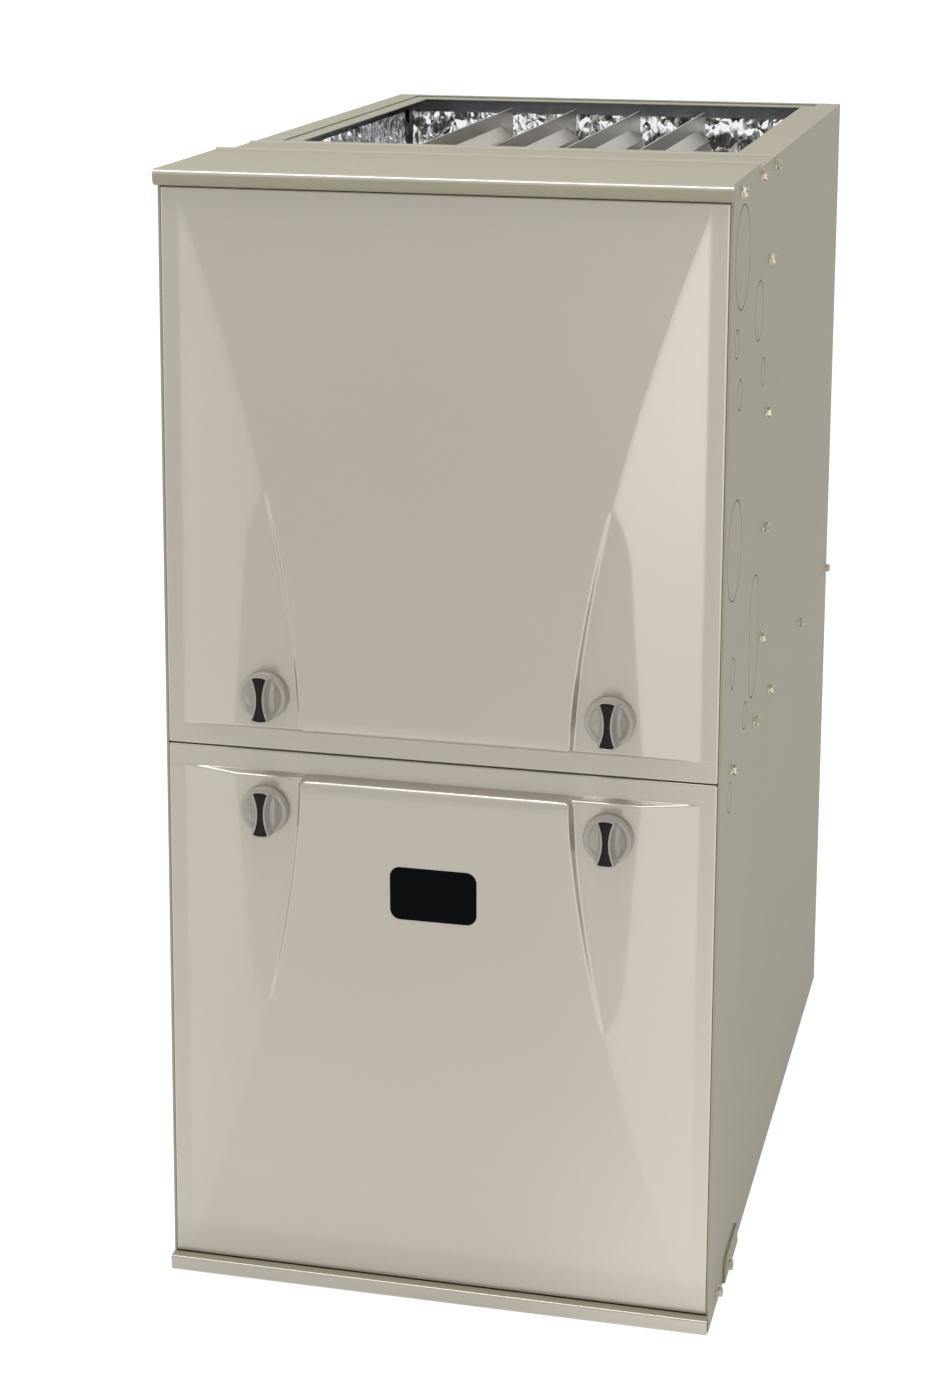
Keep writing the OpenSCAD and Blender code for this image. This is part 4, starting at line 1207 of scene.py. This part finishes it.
@dataclass
class Casing:
    """Painted cabinet: panels, cap, trim and screws.

    Attributes:
        cap_top: Height of the cap.
        hem_top: Height of the hem on the cap.
        filler_top: Height of the plate behind the cap.
        nose_out: How far the rounded noses stand out before the doors.
        nose_height: Height of the cap's nose.
        nose_radius: Radius of a nose's edges.
        nose_tuck: How far its lower edge lies behind its front.
        nose_rear: Depth at which its lip ends.
        trim_radius: Radius of the foot trim's upper edge.
        trim_end: Depth of the foot trim's bottom.
        base_height: Height of the foot trim.
        overhang: How far the cap's nose sticks out at each side.
        overhang_end: Depth at which it stops sticking out.
        cap_stops: Depths between which the cap is flat.
        cap_end: Depth of the cap's rear edge.
        cap_gap: Gap between that edge and the plate under it.
        filler_lap: How far that plate reaches under the cap.
        filler_end: Depth of its rear edge.
        filler_hem: Distance of its hem from that edge.
        hem_shape: Distance of a point from the hem's rear end, and its share of the hem's height.
        hem_gap: Gap between the hem and the flat strip behind it.
        hem_grow: How much thicker a side panel's front edge is.
        hem_front: Depth up to which a panel has that edge.
        hem_inner: Distances from its outer face between which the edge's inner side lies.
        glossy_from: Least upward part of a normal for the glossier, lighter paint of the doors, on cap and
            plate, a painted highlight on their rounded edges.
        trim_glossy_from: The same for the foot trim, whose every slanted face takes it.
        level_from: Least upward part of the normal of a level face, which takes the plain, darker paint as
            painted shade.
        score_edge: Rounding of a panel's edges.
        score_high: Least distance behind a panel's face at which a face belongs to a scored line, painted
            near-black as shade.
        score_low: Largest such distance.
        upright_below: Largest upward part of the normal of an upright face.
        screw_height: Distance between a screw's top and its seat.
        screw_turn: How much further each screw is turned than the one before, in degrees.
    """

    cap_top: float = 913.5
    hem_top: float = 915.0
    filler_top: float = 910.0
    nose_out: float = 9.0
    nose_height: float = 13.0
    nose_radius: float = 4.6
    nose_tuck: float = 0.8
    nose_rear: float = 0.8
    trim_radius: float = 2.0
    trim_end: float = 28.0
    base_height: float = 14.0
    overhang: float = 1.0
    overhang_end: float = 0.5
    cap_stops: Pair = (2.0, 60.0)
    cap_end: float = 150.0
    cap_gap: float = 0.05
    filler_lap: float = 1.0
    filler_end: float = 262.0
    filler_hem: float = 20.0
    hem_shape: tuple[Pair, ...] = (
        (6.5, 0.0), (5.6, 0.1), (4.6, 0.7), (3.4, 0.97), (2.2, 1.0), (1.0, 0.9), (0.3, 0.6), (0.0, 0.0))
    hem_gap: float = 1.0
    hem_grow: float = 0.75
    hem_front: float = 2.0
    hem_inner: Pair = (1.0, 1.5)
    glossy_from: float = 0.25
    trim_glossy_from: float = -1.1
    level_from: float = 0.97
    score_edge: float = 0.16
    score_high: float = 0.15
    score_low: float = 0.45
    upright_below: float = 0.5
    screw_height: float = 4.25
    screw_turn: float = 37.0

    def nose(self, bottom: float, top: float, rear: float, upper_radius: float) -> Profile:
        """Profile of a rounded front edge.

        Args:
            bottom: Height of its lower side.
            top: Height of its upper side.
            rear: Depth of its lower rear corner.
            upper_radius: Radius of its upper edge.

        Returns:
            The profile from its lower rear corner round to its upper edge.
        """
        r = self.nose_radius
        lower = arc((self.nose_tuck - self.nose_out + r, bottom + r), r, 270, 180)
        upper = arc((upper_radius - self.nose_out, top - upper_radius), upper_radius, 180, 90)
        return [(rear, bottom), *lower, *upper]

    def hem(self, end: float, level: float) -> Profile:
        """Profile of a low rounded hem on a plate of the given level, which ends at a depth."""
        rise = self.hem_top - self.cap_top
        return [(end - before, level + rise * share) for before, share in self.hem_shape]

    def top_cap(self) -> None:
        """Front cap with its rounded nose, its hem and its side lips."""
        profile = self.nose(self.cap_top - self.nose_height, self.cap_top, self.nose_rear, self.nose_radius)
        profile += [(depth, self.cap_top) for depth in self.cap_stops]
        profile += self.hem(self.cap_end, self.cap_top)
        profile.append((self.cap_end, self.filler_top + self.cap_gap))
        shape = swept_profile(profile)
        for vert in shape.verts:
            if vert.co.y < back(self.overhang_end):
                vert.co.x += math.copysign(self.overhang * MM, vert.co.x)
        self.sheet_piece(shape, "front_cap_sheet", "top_cap", self.glossy_from)

    def top_filler(self) -> None:
        """Plate between the cap and the supply opening, with a hem before its rear edge."""
        hem_end = self.filler_end - self.filler_hem
        profile = [(self.cap_end - self.filler_lap, self.filler_top), *self.hem(hem_end, self.filler_top)]
        profile += [(depth, self.filler_top) for depth in (hem_end + self.hem_gap, self.filler_end)]
        self.sheet_piece(swept_profile(profile), "top_filler_sheet", "top_filler_panel", self.glossy_from)

    def base_trim(self) -> None:
        """Rounded strip along the foot of the doors."""
        profile = self.nose(0.0, self.base_height, self.trim_end, self.trim_radius)
        profile.append((self.nose_rear, self.base_height))
        self.sheet_piece(swept_profile(profile), "foot_trim_sheet", "base_trim", self.trim_glossy_from)

    def sheet_piece(self, shape: BMesh, name: str, node: str, glossy: float) -> None:
        """Thicken a swept sheet and let it stand for its node.

        Args:
            shape: The open sheet.
            name: Name of the new piece.
            node: Node that it stands for.
            glossy: Least upward part of a face's normal that takes the glossier, lighter paint as a painted
                highlight; the other faces take the darker paint as painted shade.
        """
        bmesh.ops.recalc_face_normals(shape, faces=shape.faces)
        top = max(shape.faces, key=lambda f: f.calc_center_median().z)
        if top.normal.z < 0:
            bmesh.ops.reverse_faces(shape, faces=shape.faces)
        # Paint by facing: faces between the two limits take the lighter door paint as a painted highlight,
        # the rest the darker casing paint as painted shade.
        for face in shape.faces:
            face.material_index = 0 if glossy < face.normal.z < self.level_from else 1
        piece = as_piece(shape, name, [DOOR_PAINT, SHADED_CASING_PAINT], sharp=40)
        thicken(piece)
        settle(piece, node)

    def panels(self) -> None:
        """Side, rear and bottom panels, brackets and flange, with their edges eased."""
        for node in ("left_side_panel", "right_side_panel", "rear_panel"):
            self.panel(node)
        # These take the darker copy of the paint, whose darkness is painted shade.
        for node, width in (("bottom_panel", 0.3), ("base_brackets", 0.4), ("duct_flange", 0.4)):
            dressed_node(node, SHADED_CASING_PAINT, width)

    def panel(self, node: str) -> None:
        """Painted panel whose knockouts show as scored lines painted near-black as shade, with a bare zinc
        inner side painted darker as shade.

        Args:
            node: Node of the panel.
        """
        shape = merged_copy(node)
        for vert in shape.verts:
            inner = HALF_WIDTH - abs(vert.co.x)
            if vert.co.y < back(self.hem_front) and self.hem_inner[0] * MM < inner < self.hem_inner[1] * MM:
                vert.co.x -= math.copysign(self.hem_grow * MM, vert.co.x)
        soften(shape, self.score_edge)
        for face in shape.faces:
            centre = face.calc_center_median()
            inwards = face.normal.x * centre.x + face.normal.y * centre.y < 0
            # Faces inside a knockout's groove take the near-black, painted shade.
            if self.score_high * MM < HALF_WIDTH - abs(centre.x) < self.score_low * MM:
                face.material_index = 1
            # Upright inner faces take the darker zinc, painted shade.
            elif inwards and abs(face.normal.z) < self.upright_below:
                face.material_index = 2
        piece = as_piece(shape, node + "_part", [SHADED_CASING_PAINT, SCORE_LINE_SHADE, SHADED_ZINC_LINING])
        even_normals(piece)
        settle(piece, node)

    def screws(self) -> None:
        """Hex washer head screws, one where each screw of the node is."""
        source = bmesh.new()
        source.from_mesh(frame["nodes"]["casing_screws"].data)
        bmesh.ops.remove_doubles(source, verts=source.verts, dist=WELD)
        shape = bmesh.new()
        for k, island in enumerate(islands(source)):
            low = Vector([min(v.co[a] for v in island) for a in range(3)])
            high = Vector([max(v.co[a] for v in island) for a in range(3)])
            side = math.copysign(1, (low + high).x)
            outer = high.x if side > 0 else low.x
            seat = Vector((outer - side * self.screw_height * MM, (low.y + high.y) / 2, (low.z + high.z) / 2))
            add_shape(shape, WasherScrew(seat, side, self.screw_turn * k).build())
        source.free()
        # The screws' slots take the inlay's black as painted shade.
        settle(as_piece(shape, "hex_washer_screws", [ZINC, INLAY_AND_SLOT_SHADE]), "casing_screws")

    def build(self) -> None:
        """Make the whole cabinet."""
        self.panels()
        self.top_cap()
        self.top_filler()
        self.base_trim()
        self.screws()


def islands(shape: BMesh) -> list[list[BMVert]]:
    """Groups of points of a shape that hang together.

    Args:
        shape: The shape.

    Returns:
        The points of each group.
    """
    seen, groups = set(), []
    for start in shape.verts:
        if start in seen:
            continue
        group, stack = [], [start]
        seen.add(start)
        while stack:
            vert = stack.pop()
            group.append(vert)
            for edge in vert.link_edges:
                other = edge.other_vert(vert)
                if other not in seen:
                    seen.add(other)
                    stack.append(other)
        groups.append(group)
    return groups


def dressed_node(node: str, finish: Finish, width: float) -> None:
    """Copy a CAD node with its edges eased and its own finish.

    Args:
        node: Node to stand for.
        finish: Its finish.
        width: Rounding of its edges in millimetres, or 0 to leave them.
    """
    shape = merged_copy(node)
    if width:
        soften(shape, width)
    piece = as_piece(shape, node + "_part", [finish])
    even_normals(piece)
    settle(piece, node)


# Supply opening


@dataclass
class FoilLining:
    """Foil-faced insulation slab beside the heat exchanger.

    Attributes:
        node: Name of the slab's node.
        inward: Direction of the side that faces the duct, along an axis.
        cell: Distance between the points of the foil.
        depth: Depth of the creases.
        shuffle: How far the points are moved about.
        shuffle_scale: How quickly that changes along the foil, per metre.
        lean: How far the foil leans back at its top edge.
        lean_from: Distance below the top at which it starts to lean.
        upright: How much the creases are drawn out in height.
        sizes: Sizes of the large waves, the ridges and the fine creases.
        shares: Their shares of the depth.
        ridge_shift: Where in the noise the ridges are read.
        fine_shift: Where in the noise the fine creases are read.
        sharp: Angle in degrees past which a crease is not smoothed.
        touch: Distance in metres within which a point lies on a side of the slab.
        cut_within: Distance in metres within which a point lies on a cut.
    """

    node: str
    inward: Vector
    cell: float = 4.5
    depth: float = 7.5
    shuffle: float = 1.4
    shuffle_scale: float = 260.0
    lean: float = 3.4
    lean_from: float = 42.0
    upright: float = 0.45
    sizes: Triple = (34.0, 15.0, 7.0)
    shares: Triple = (0.3, 0.45, 0.25)
    ridge_shift: Triple = (9, 3, 5)
    fine_shift: Triple = (1, 7, 2)
    sharp: float = 26.0
    touch: float = 1e-6
    cut_within: float = 1e-7

    def crease(self, point: Vector) -> float:
        """Depth of the foil's upright creases.

        Args:
            point: Point of the foil.

        Returns:
            The depth there, from 0 to 1.
        """
        stretched = Vector((point.x, point.y, point.z * self.upright)) * PER_METRE
        waves, ridges, creases = self.sizes
        coarse = noise.noise(stretched / waves) * 0.5 + 0.5
        ridge = 1 - abs(noise.noise(stretched / ridges + Vector(self.ridge_shift)))
        fine = 1 - abs(noise.noise(stretched / creases + Vector(self.fine_shift)))
        return self.shares[0] * coarse + self.shares[1] * ridge**3 + self.shares[2] * fine**2

    def cut_slab(self, low: Vector, high: Vector) -> BMesh:
        """Slab that is cut into cells along every axis.

        Args:
            low: Corner with the least coordinates.
            high: Corner with the greatest ones.

        Returns:
            The closed slab.
        """
        shape = slab(low, high)
        for axis in range(3):
            span = high[axis] - low[axis]
            cuts = int(span / (self.cell * MM))
            normal = Vector([1.0 if a == axis else 0.0 for a in range(3)])
            for k in range(1, cuts):
                point = low.copy()
                point[axis] = low[axis] + span * k / cuts
                bmesh.ops.bisect_plane(shape, geom=shape.verts[:] + shape.edges[:] + shape.faces[:],
                                       dist=self.cut_within, plane_co=point, plane_no=normal)
        return shape

    def build(self) -> None:
        """Make the slab, crumple the side that shows and let it stand for its node."""
        low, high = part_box(self.node)
        shape = self.cut_slab(low, high)
        axis = max(range(3), key=lambda a: abs(self.inward[a]))
        facing = (high if self.inward[axis] > 0 else low)[axis]
        for vert in shape.verts:
            if abs(vert.co[axis] - facing) < self.touch:
                jitter = noise.noise_vector(vert.co * self.shuffle_scale) * self.shuffle * MM
                for side in range(3):
                    from_edge = min(vert.co[side] - low[side], high[side] - vert.co[side])
                    if side == axis or from_edge < self.touch:
                        jitter[side] = 0
                below = (high.z - vert.co.z) / (self.lean_from * MM)
                back_off = self.depth * self.crease(vert.co) + self.lean * max(0.0, 1 - below)
                vert.co += jitter - self.inward * back_off * MM
        bmesh.ops.triangulate(shape, faces=shape.faces[:], quad_method="BEAUTY")
        settle(as_piece(shape, self.node + "_foil", [FOIL], self.sharp), self.node)


@dataclass
class ExchangerCell:
    """Clamshell cell of two pressed halves joined by a seam, with three passes one below the other.

    Attributes:
        node: Name of the cell's node.
        seam: Half of the seam's thickness.
        bulge: How far a pass stands out from the seam on each side.
        shoulder: Width of the slope at a pass's edge.
        slope_share: Height that a pass reaches by its rounded slope, as a share.
        crown_share: Height that it gains in proportion to the distance from its edge, as a share.
        drop: Distance of the first pass below the top seam.
        pass_height: Height of a pass.
        pass_step: Distance from a pass to the next.
        passes: Number of passes.
        rear: Depth at which the upper passes end.
        inset: Depth at which the lower passes start.
        chamfer: Distance that the first pass's slanted rear corner cuts off.
        chamfer_slope: Slope of that corner.
        chamfer_length: Length that turns its height into a distance.
        notch_depth: Depth behind which the seam is cut away beside the upper passes.
        notch_height: Distance below the top down to which it is.
        step: Distance between mesh points.
    """

    node: str
    seam: float = 0.6
    bulge: float = 12.4
    shoulder: float = 7.0
    slope_share: float = 0.82
    crown_share: float = 0.18
    drop: float = 15.5
    pass_height: float = 57.5
    pass_step: float = 89.0
    passes: int = 3
    rear: float = 451.0
    inset: float = 20.0
    chamfer: float = 42.0
    chamfer_slope: float = 1.9
    chamfer_length: float = 2.1
    notch_depth: float = 459.5
    notch_height: float = 176.0
    step: float = 4.5

    def __post_init__(self) -> None:
        """Read the cell's place from its node."""
        self.low, self.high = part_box(self.node)
        self.middle = (self.low.x + self.high.x) / 2

    def swelling(self, y: float, z: float) -> float:
        """Half thickness of the cell at a depth and height, in metres.

        Args:
            y: Depth in millimetres behind the cell's front edge.
            z: Distance in millimetres below the top seam.

        Returns:
            Half of the thickness there.
        """
        deepest = 0.0
        for k in range(self.passes):
            upper = self.drop + k * self.pass_step
            edges = [z - upper, upper + self.pass_height - z]
            if k:
                edges.append(y - self.inset)
            if k < self.passes - 1:
                edges.append(self.rear - y)
            if k == 0:
                corner = (self.rear - y) + self.chamfer_slope * (z - upper) - self.chamfer
                edges.append(corner / self.chamfer_length)
            inside = min(edges) / self.shoulder
            if inside > 0:
                share = min(1.0, inside)
                crown = self.slope_share + self.crown_share * share
                deepest = max(deepest, math.sin(share * math.pi / 2) * crown)
        return (self.seam + self.bulge * deepest) * MM

    def half(self, side: int) -> BMesh:
        """One pressed half.

        Args:
            side: 1 for the half on the right, -1 for the one on the left.

        Returns:
            The open sheet.
        """
        deep, tall = self.high.y - self.low.y, self.high.z - self.low.z
        shape = bmesh.new()
        bmesh.ops.create_grid(shape, x_segments=round(deep / self.step / MM),
                              y_segments=round(tall / self.step / MM), size=GRID_HALF)
        for vert in shape.verts:
            y = (vert.co.x + GRID_HALF) * deep
            z = (vert.co.y + GRID_HALF) * tall
            swell = self.swelling(y / MM, (tall - z) / MM)
            vert.co = Vector((self.middle + side * swell, self.low.y + y, self.low.z + z))
        return shape

    def build(self) -> None:
        """Join both halves along their seam and let the cell stand for its node."""
        shape = self.half(-1)
        add_shape(shape, self.half(1))
        rim = [e for e in shape.edges if e.is_boundary]
        bmesh.ops.bridge_loops(shape, edges=rim)
        beyond = [f for f in shape.faces
                  if f.calc_center_median().y > self.low.y + self.notch_depth * MM
                  and f.calc_center_median().z > self.high.z - self.notch_height * MM]
        bmesh.ops.delete(shape, geom=beyond, context="FACES")
        bmesh.ops.recalc_face_normals(shape, faces=shape.faces)
        settle(as_piece(shape, self.node + "_pressing", [CELL_STEEL], sharp=50), self.node)


# Works behind the doors


PLAIN_PARTS: tuple[tuple[str, Finish, float], ...] = (
    ("blower_shelf", GALVANISED, 0.3),
    ("cell_panel", GALVANISED, 0.3),
    ("latch_keepers", GALVANISED, 0.3),
    ("coupling_box", CELL_STEEL, 0.8),
    ("condensing_coil", ALUMINIUM, 0.0),
    ("collector_box", BLACK_PLASTIC, 0.8),
    ("inducer_housing", BLACK_PLASTIC, 0.8),
    ("inducer_wheel", GALVANISED, 0.0),
    ("inducer_motor", BLACK_PAINT, 0.8),
    ("vent_elbow", WHITE_PLASTIC, 0.6),
    ("condensate_trap", BLACK_PLASTIC, 1.2),
    ("pressure_switch", BLACK_PLASTIC, 0.8),
    ("pressure_tube", RUBBER, 0.2),
    ("burner_bracket", GALVANISED, 0.2),
    *((f"burner_{number}", CELL_STEEL, 0.2) for number in range(1, 5)),
    ("gas_manifold", BLACK_PAINT, 0.4),
    ("gas_valve", CAST_METAL, 1.2),
    ("gas_valve_switch", RED_PLASTIC, 0.8),
    ("hot_surface_igniter", CERAMIC, 0.5),
    ("flame_sensor", CERAMIC, 0.3),
    ("rollout_switch", BLACK_PLASTIC, 0.6),
    ("rollout_reset_button", RED_PLASTIC, 0.5),
    ("blower_housing", GALVANISED, 0.3),
    ("blower_wheel", GALVANISED, 0.0),
    ("blower_shaft", CAST_METAL, 0.8),
    ("blower_motor", BLACK_PAINT, 2.0),
    ("motor_mount", GALVANISED, 0.4),
    ("control_box", GALVANISED, 0.3),
    ("transformer", CORE, 0.8),
    ("junction_box", GALVANISED, 0.3),
    ("door_switch", BLACK_PLASTIC, 0.8),
    ("door_switch_plunger", WHITE_PLASTIC, 0.6),
)


@dataclass
class ControlBoard:
    """Circuit board whose relays and chips are black and whose connectors are white.

    Attributes:
        node: Name of the board's node.
        edge: Rounding of the edges.
        facing: Least forward part of the normal of the plate's front face.
        proud: How far before that face a part of the board must lie.
        behind: How far behind it a standoff must lie.
        low_row: Share of the board's height up to which a part is a connector.
    """

    node: str
    edge: float = 0.4
    facing: float = 0.9
    proud: float = 0.3
    behind: float = 2.5
    low_row: float = 0.2

    def build(self) -> None:
        """Tell the parts of the board apart and let it stand for its node."""
        shape = merged_copy(self.node)
        soften(shape, self.edge)
        low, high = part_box(self.node)
        front = max(shape.faces, key=lambda f: f.calc_area() if f.normal.y < -self.facing else 0.0)
        plate = front.calc_center_median().y
        for face in shape.faces:
            centre = face.calc_center_median()
            if centre.y < plate - self.proud * MM:
                connector = centre.z < low.z + self.low_row * (high.z - low.z)
                face.material_index = 2 if connector else 1
            elif centre.y > plate + self.behind * MM:
                face.material_index = 2
        piece = as_piece(shape, self.node + "_part", [BOARD, BLACK_PLASTIC, WHITE_PLASTIC])
        even_normals(piece)
        settle(piece, self.node)


# Studio


@dataclass(frozen=True)
class Softbox:
    """Large soft lamp.

    Attributes:
        name: Name of the lamp.
        place: Where it stands, in metres.
        aim: Point that it lights, in metres.
        size: Its width and height in metres.
        power: Its power in watts.
    """

    name: str
    place: Triple
    aim: Triple
    size: Pair
    power: float

    def build(self) -> None:
        """Set the lamp up, out of the camera's sight."""
        data = bpy.data.lights.new(self.name, "AREA")
        data.shape = "RECTANGLE"
        data.size, data.size_y = self.size
        data.energy = self.power
        lamp = bpy.data.objects.new(self.name, data)
        lamp.location = self.place
        lamp.rotation_euler = (Vector(self.place) - Vector(self.aim)).to_track_quat("Z", "Y").to_euler()
        lamp.visible_camera = False
        bpy.context.scene.collection.objects.link(lamp)


@dataclass(frozen=True)
class MirrorZone:
    """Part of the floor that glossy surfaces see brighter.

    Attributes:
        way: Direction over the floor in which distances are measured.
        start: Distance in metres at which the zone begins.
        end: Distance at which it is full.
        gain: How much it adds to the floor's glow.
    """

    way: Pair
    start: float
    end: float
    gain: float

    def value(self, tree: NodeTree, place: NodeSocket) -> NodeSocket:
        """Value that grows from 0 to the gain between start and end.

        Args:
            tree: Node tree of the floor.
            place: Place on the floor.

        Returns:
            The value at that place.
        """
        along = add_node(tree, "ShaderNodeVectorMath", {0: place, 1: (*self.way, 0.0)}, "DOT_PRODUCT")
        rise = add_node(tree, "ShaderNodeMapRange", {"From Min": self.start, "From Max": self.end,
                                                     "To Max": self.gain, "Value": along.outputs["Value"]})
        rise.interpolation_type = "SMOOTHSTEP"
        return rise.outputs["Result"]


@dataclass
class Studio:
    """Pale floor, white surroundings, soft lights and the camera.

    Attributes:
        floor_half: Half of the floor's width in metres.
        paper_glow: Glow of the floor where it is seen.
        glow_mix: Share of that glow in the floor's looks.
        ahead: Zone before the doors, the only one where the floor is seen brighter in a mirror.
        mirror_zones: Zones that add up to how much brighter it is seen.
        fill: Strength of the light from all around.
        lamps: The soft lights.
        lens: Focal length in millimetres.
        shift: Shift of the picture across and up, as shares of its longer side.
        place: Place of the camera.
        azimuth: Its turn round the furnace in degrees.
        pitch: Its tilt from the level in degrees.
        roll: Its turn about the line of sight in degrees.
        sight: Greatest distance that it sees.
    """

    floor_half: float = 30.0
    paper_glow: float = 1.5
    glow_mix: float = 0.6
    ahead: MirrorZone = MirrorZone((0.0, 1.0), -0.3, -0.42, 1.0)
    mirror_zones: tuple[MirrorZone, ...] = (
        MirrorZone((1.0, 0.0), 0.0, 0.25, 1.15),
        MirrorZone((1.0, -0.52), 0.03, -0.08, 0.55),
        MirrorZone((0.0, 1.0), -1.0, -0.5, 0.25),
        MirrorZone((0.0, 1.0), -5.0, -9.0, 0.3),
    )
    fill: float = 0.55
    lamps: tuple[Softbox, ...] = (
        Softbox("top_light", (-0.5, -0.9, 2.9), (0, 0, 0.5), (2.2, 0.55), 33),
        Softbox("left_light", (-2.2, -2.3, 0.45), (0, 0, 0.5), (1.4, 0.9), 3.5),
        Softbox("right_light", (0.75, -3.0, 0.42), (0, 0, 0.5), (1.4, 0.84), 4.7),
        Softbox("floor_light", (0, -1.0, 0.02), (0, -1.0, 1.0), (3.0, 1.2), 2.6),
    )
    lens: float = 73.1
    shift: Pair = (0.03, -0.2)
    place: Triple = (0.5044, -2.42695, 1.1499)
    azimuth: float = 14.01
    pitch: float = -11.26
    roll: float = 0.1
    sight: float = 100.0

    def camera(self) -> None:
        """Camera at the photograph's angle."""
        data = bpy.data.cameras.new("camera")
        data.lens = self.lens
        data.shift_x, data.shift_y = self.shift
        data.clip_end = self.sight
        camera = bpy.data.objects.new("camera", data)
        camera.location = self.place
        turn = Matrix.Rotation(math.radians(self.azimuth), 3, "Z")
        tilt = Matrix.Rotation(math.radians(90 + self.pitch), 3, "X")
        spin = Matrix.Rotation(math.radians(self.roll), 3, "Z")
        camera.rotation_euler = (turn @ tilt @ spin).to_euler()
        bpy.context.scene.collection.objects.link(camera)
        bpy.context.scene.camera = camera

    def floor(self) -> None:
        """Pale floor that runs out of view."""
        shape = bmesh.new()
        bmesh.ops.create_grid(shape, x_segments=1, y_segments=1, size=self.floor_half)
        floor = as_piece(shape, "studio_floor", [PAPER])
        material = floor.data.materials[0]
        material.cycles.emission_sampling = "NONE"
        tree = material.node_tree
        glow = add_node(tree, "ShaderNodeEmission", {"Strength": self.mirrored_glow(tree)})
        share = maths(tree, "MULTIPLY", self.seen_rays(tree), self.glow_mix)
        paper = tree.nodes["Principled BSDF"].outputs["BSDF"]
        mix = add_node(tree, "ShaderNodeMixShader", {"Fac": share, 1: paper, 2: glow.outputs["Emission"]})
        wire(tree, tree.nodes["Material Output"], {"Surface": mix.outputs["Shader"]})

    def mirrored_glow(self, tree: NodeTree) -> NodeSocket:
        """Glow of the floor, which glossy surfaces see brighter at both sides and near the furnace.

        Args:
            tree: Node tree of the floor.

        Returns:
            The strength of the glow.
        """
        path = tree.nodes.new("ShaderNodeLightPath")
        place = tree.nodes.new("ShaderNodeTexCoord").outputs["Object"]
        total = self.mirror_zones[0].value(tree, place)
        for zone in self.mirror_zones[1:]:
            total = maths(tree, "ADD", total, zone.value(tree, place))
        mirrored = maths(tree, "MULTIPLY", self.ahead.value(tree, place), path.outputs["Is Glossy Ray"])
        return maths(tree, "MULTIPLY_ADD", total, mirrored, self.paper_glow)

    @staticmethod
    def seen_rays(tree: NodeTree) -> NodeSocket:
        """Value that is 1 on rays by which the surroundings are seen, straight or in metal or glass.

        Args:
            tree: Node tree that needs the value.

        Returns:
            The value.
        """
        path = tree.nodes.new("ShaderNodeLightPath")
        total = path.outputs["Is Camera Ray"]
        for name in ("Is Glossy Ray", "Is Transmission Ray"):
            total = maths(tree, "MAXIMUM", total, path.outputs[name])
        return total

    def world(self) -> None:
        """White surroundings, brighter where they are seen than where they only light the object."""
        world = bpy.data.worlds.new("studio_world")
        world.use_nodes = True
        tree = world.node_tree
        soft = tree.nodes["Background"]
        wire(tree, soft, {"Color": (1, 1, 1, 1), "Strength": self.fill})
        white = add_node(tree, "ShaderNodeBackground", {"Color": (1, 1, 1, 1), "Strength": 1.0})
        mix = add_node(tree, "ShaderNodeMixShader",
                       {"Fac": self.seen_rays(tree), 1: soft.outputs["Background"],
                        2: white.outputs["Background"]})
        wire(tree, tree.nodes["World Output"], {"Surface": mix.outputs["Shader"]})
        bpy.context.scene.world = world

    def build(self) -> None:
        """Set up the whole studio."""
        self.camera()
        self.floor()
        self.world()
        for lamp in self.lamps:
            lamp.build()
        bpy.context.scene.view_settings.view_transform = "Standard"


def build_furnace() -> None:
    """Build the sub-assemblies in order and report each."""
    upper = PressedDoor("upper_door", field_far=892.0, field_near=471.0, knob_rise=501.0)
    lower = PressedDoor("lower_door", field_far=20.5, field_near=437.0, knob_rise=407.0)
    settle(upper.build(), upper.node)
    lower_sheet = lower.build()
    SightGlass(lower).build(lower_sheet)
    settle(lower_sheet, lower.node)
    for node, side, door in (("upper_left_knob", -1, upper), ("upper_right_knob", 1, upper),
                             ("lower_left_knob", -1, lower), ("lower_right_knob", 1, lower)):
        DoorKnob(node, side * door.knob_across, door.knob_rise).build()
    LOG.info("doors, knobs and sight glass done")
    Casing().build()
    LOG.info("casing done")
    FoilLining("left_insulation", Vector((1, 0, 0))).build()
    FoilLining("right_insulation", Vector((-1, 0, 0))).build()
    FoilLining("rear_insulation", Vector((0, -1, 0))).build()
    for number in range(1, 5):
        ExchangerCell(f"heat_exchanger_cell_{number}").build()
    LOG.info("supply opening done")
    for node, finish, width in PLAIN_PARTS:
        dressed_node(node, finish, width)
    ControlBoard("control_board").build()
    LOG.info("works done")


def main() -> None:
    """Build the studio and the furnace."""
    logging.basicConfig(level=logging.INFO, format="%(message)s")
    noise.seed_set(NOISE_SEED)
    Studio().build()
    build_furnace()


if __name__ == "__main__":
    main()
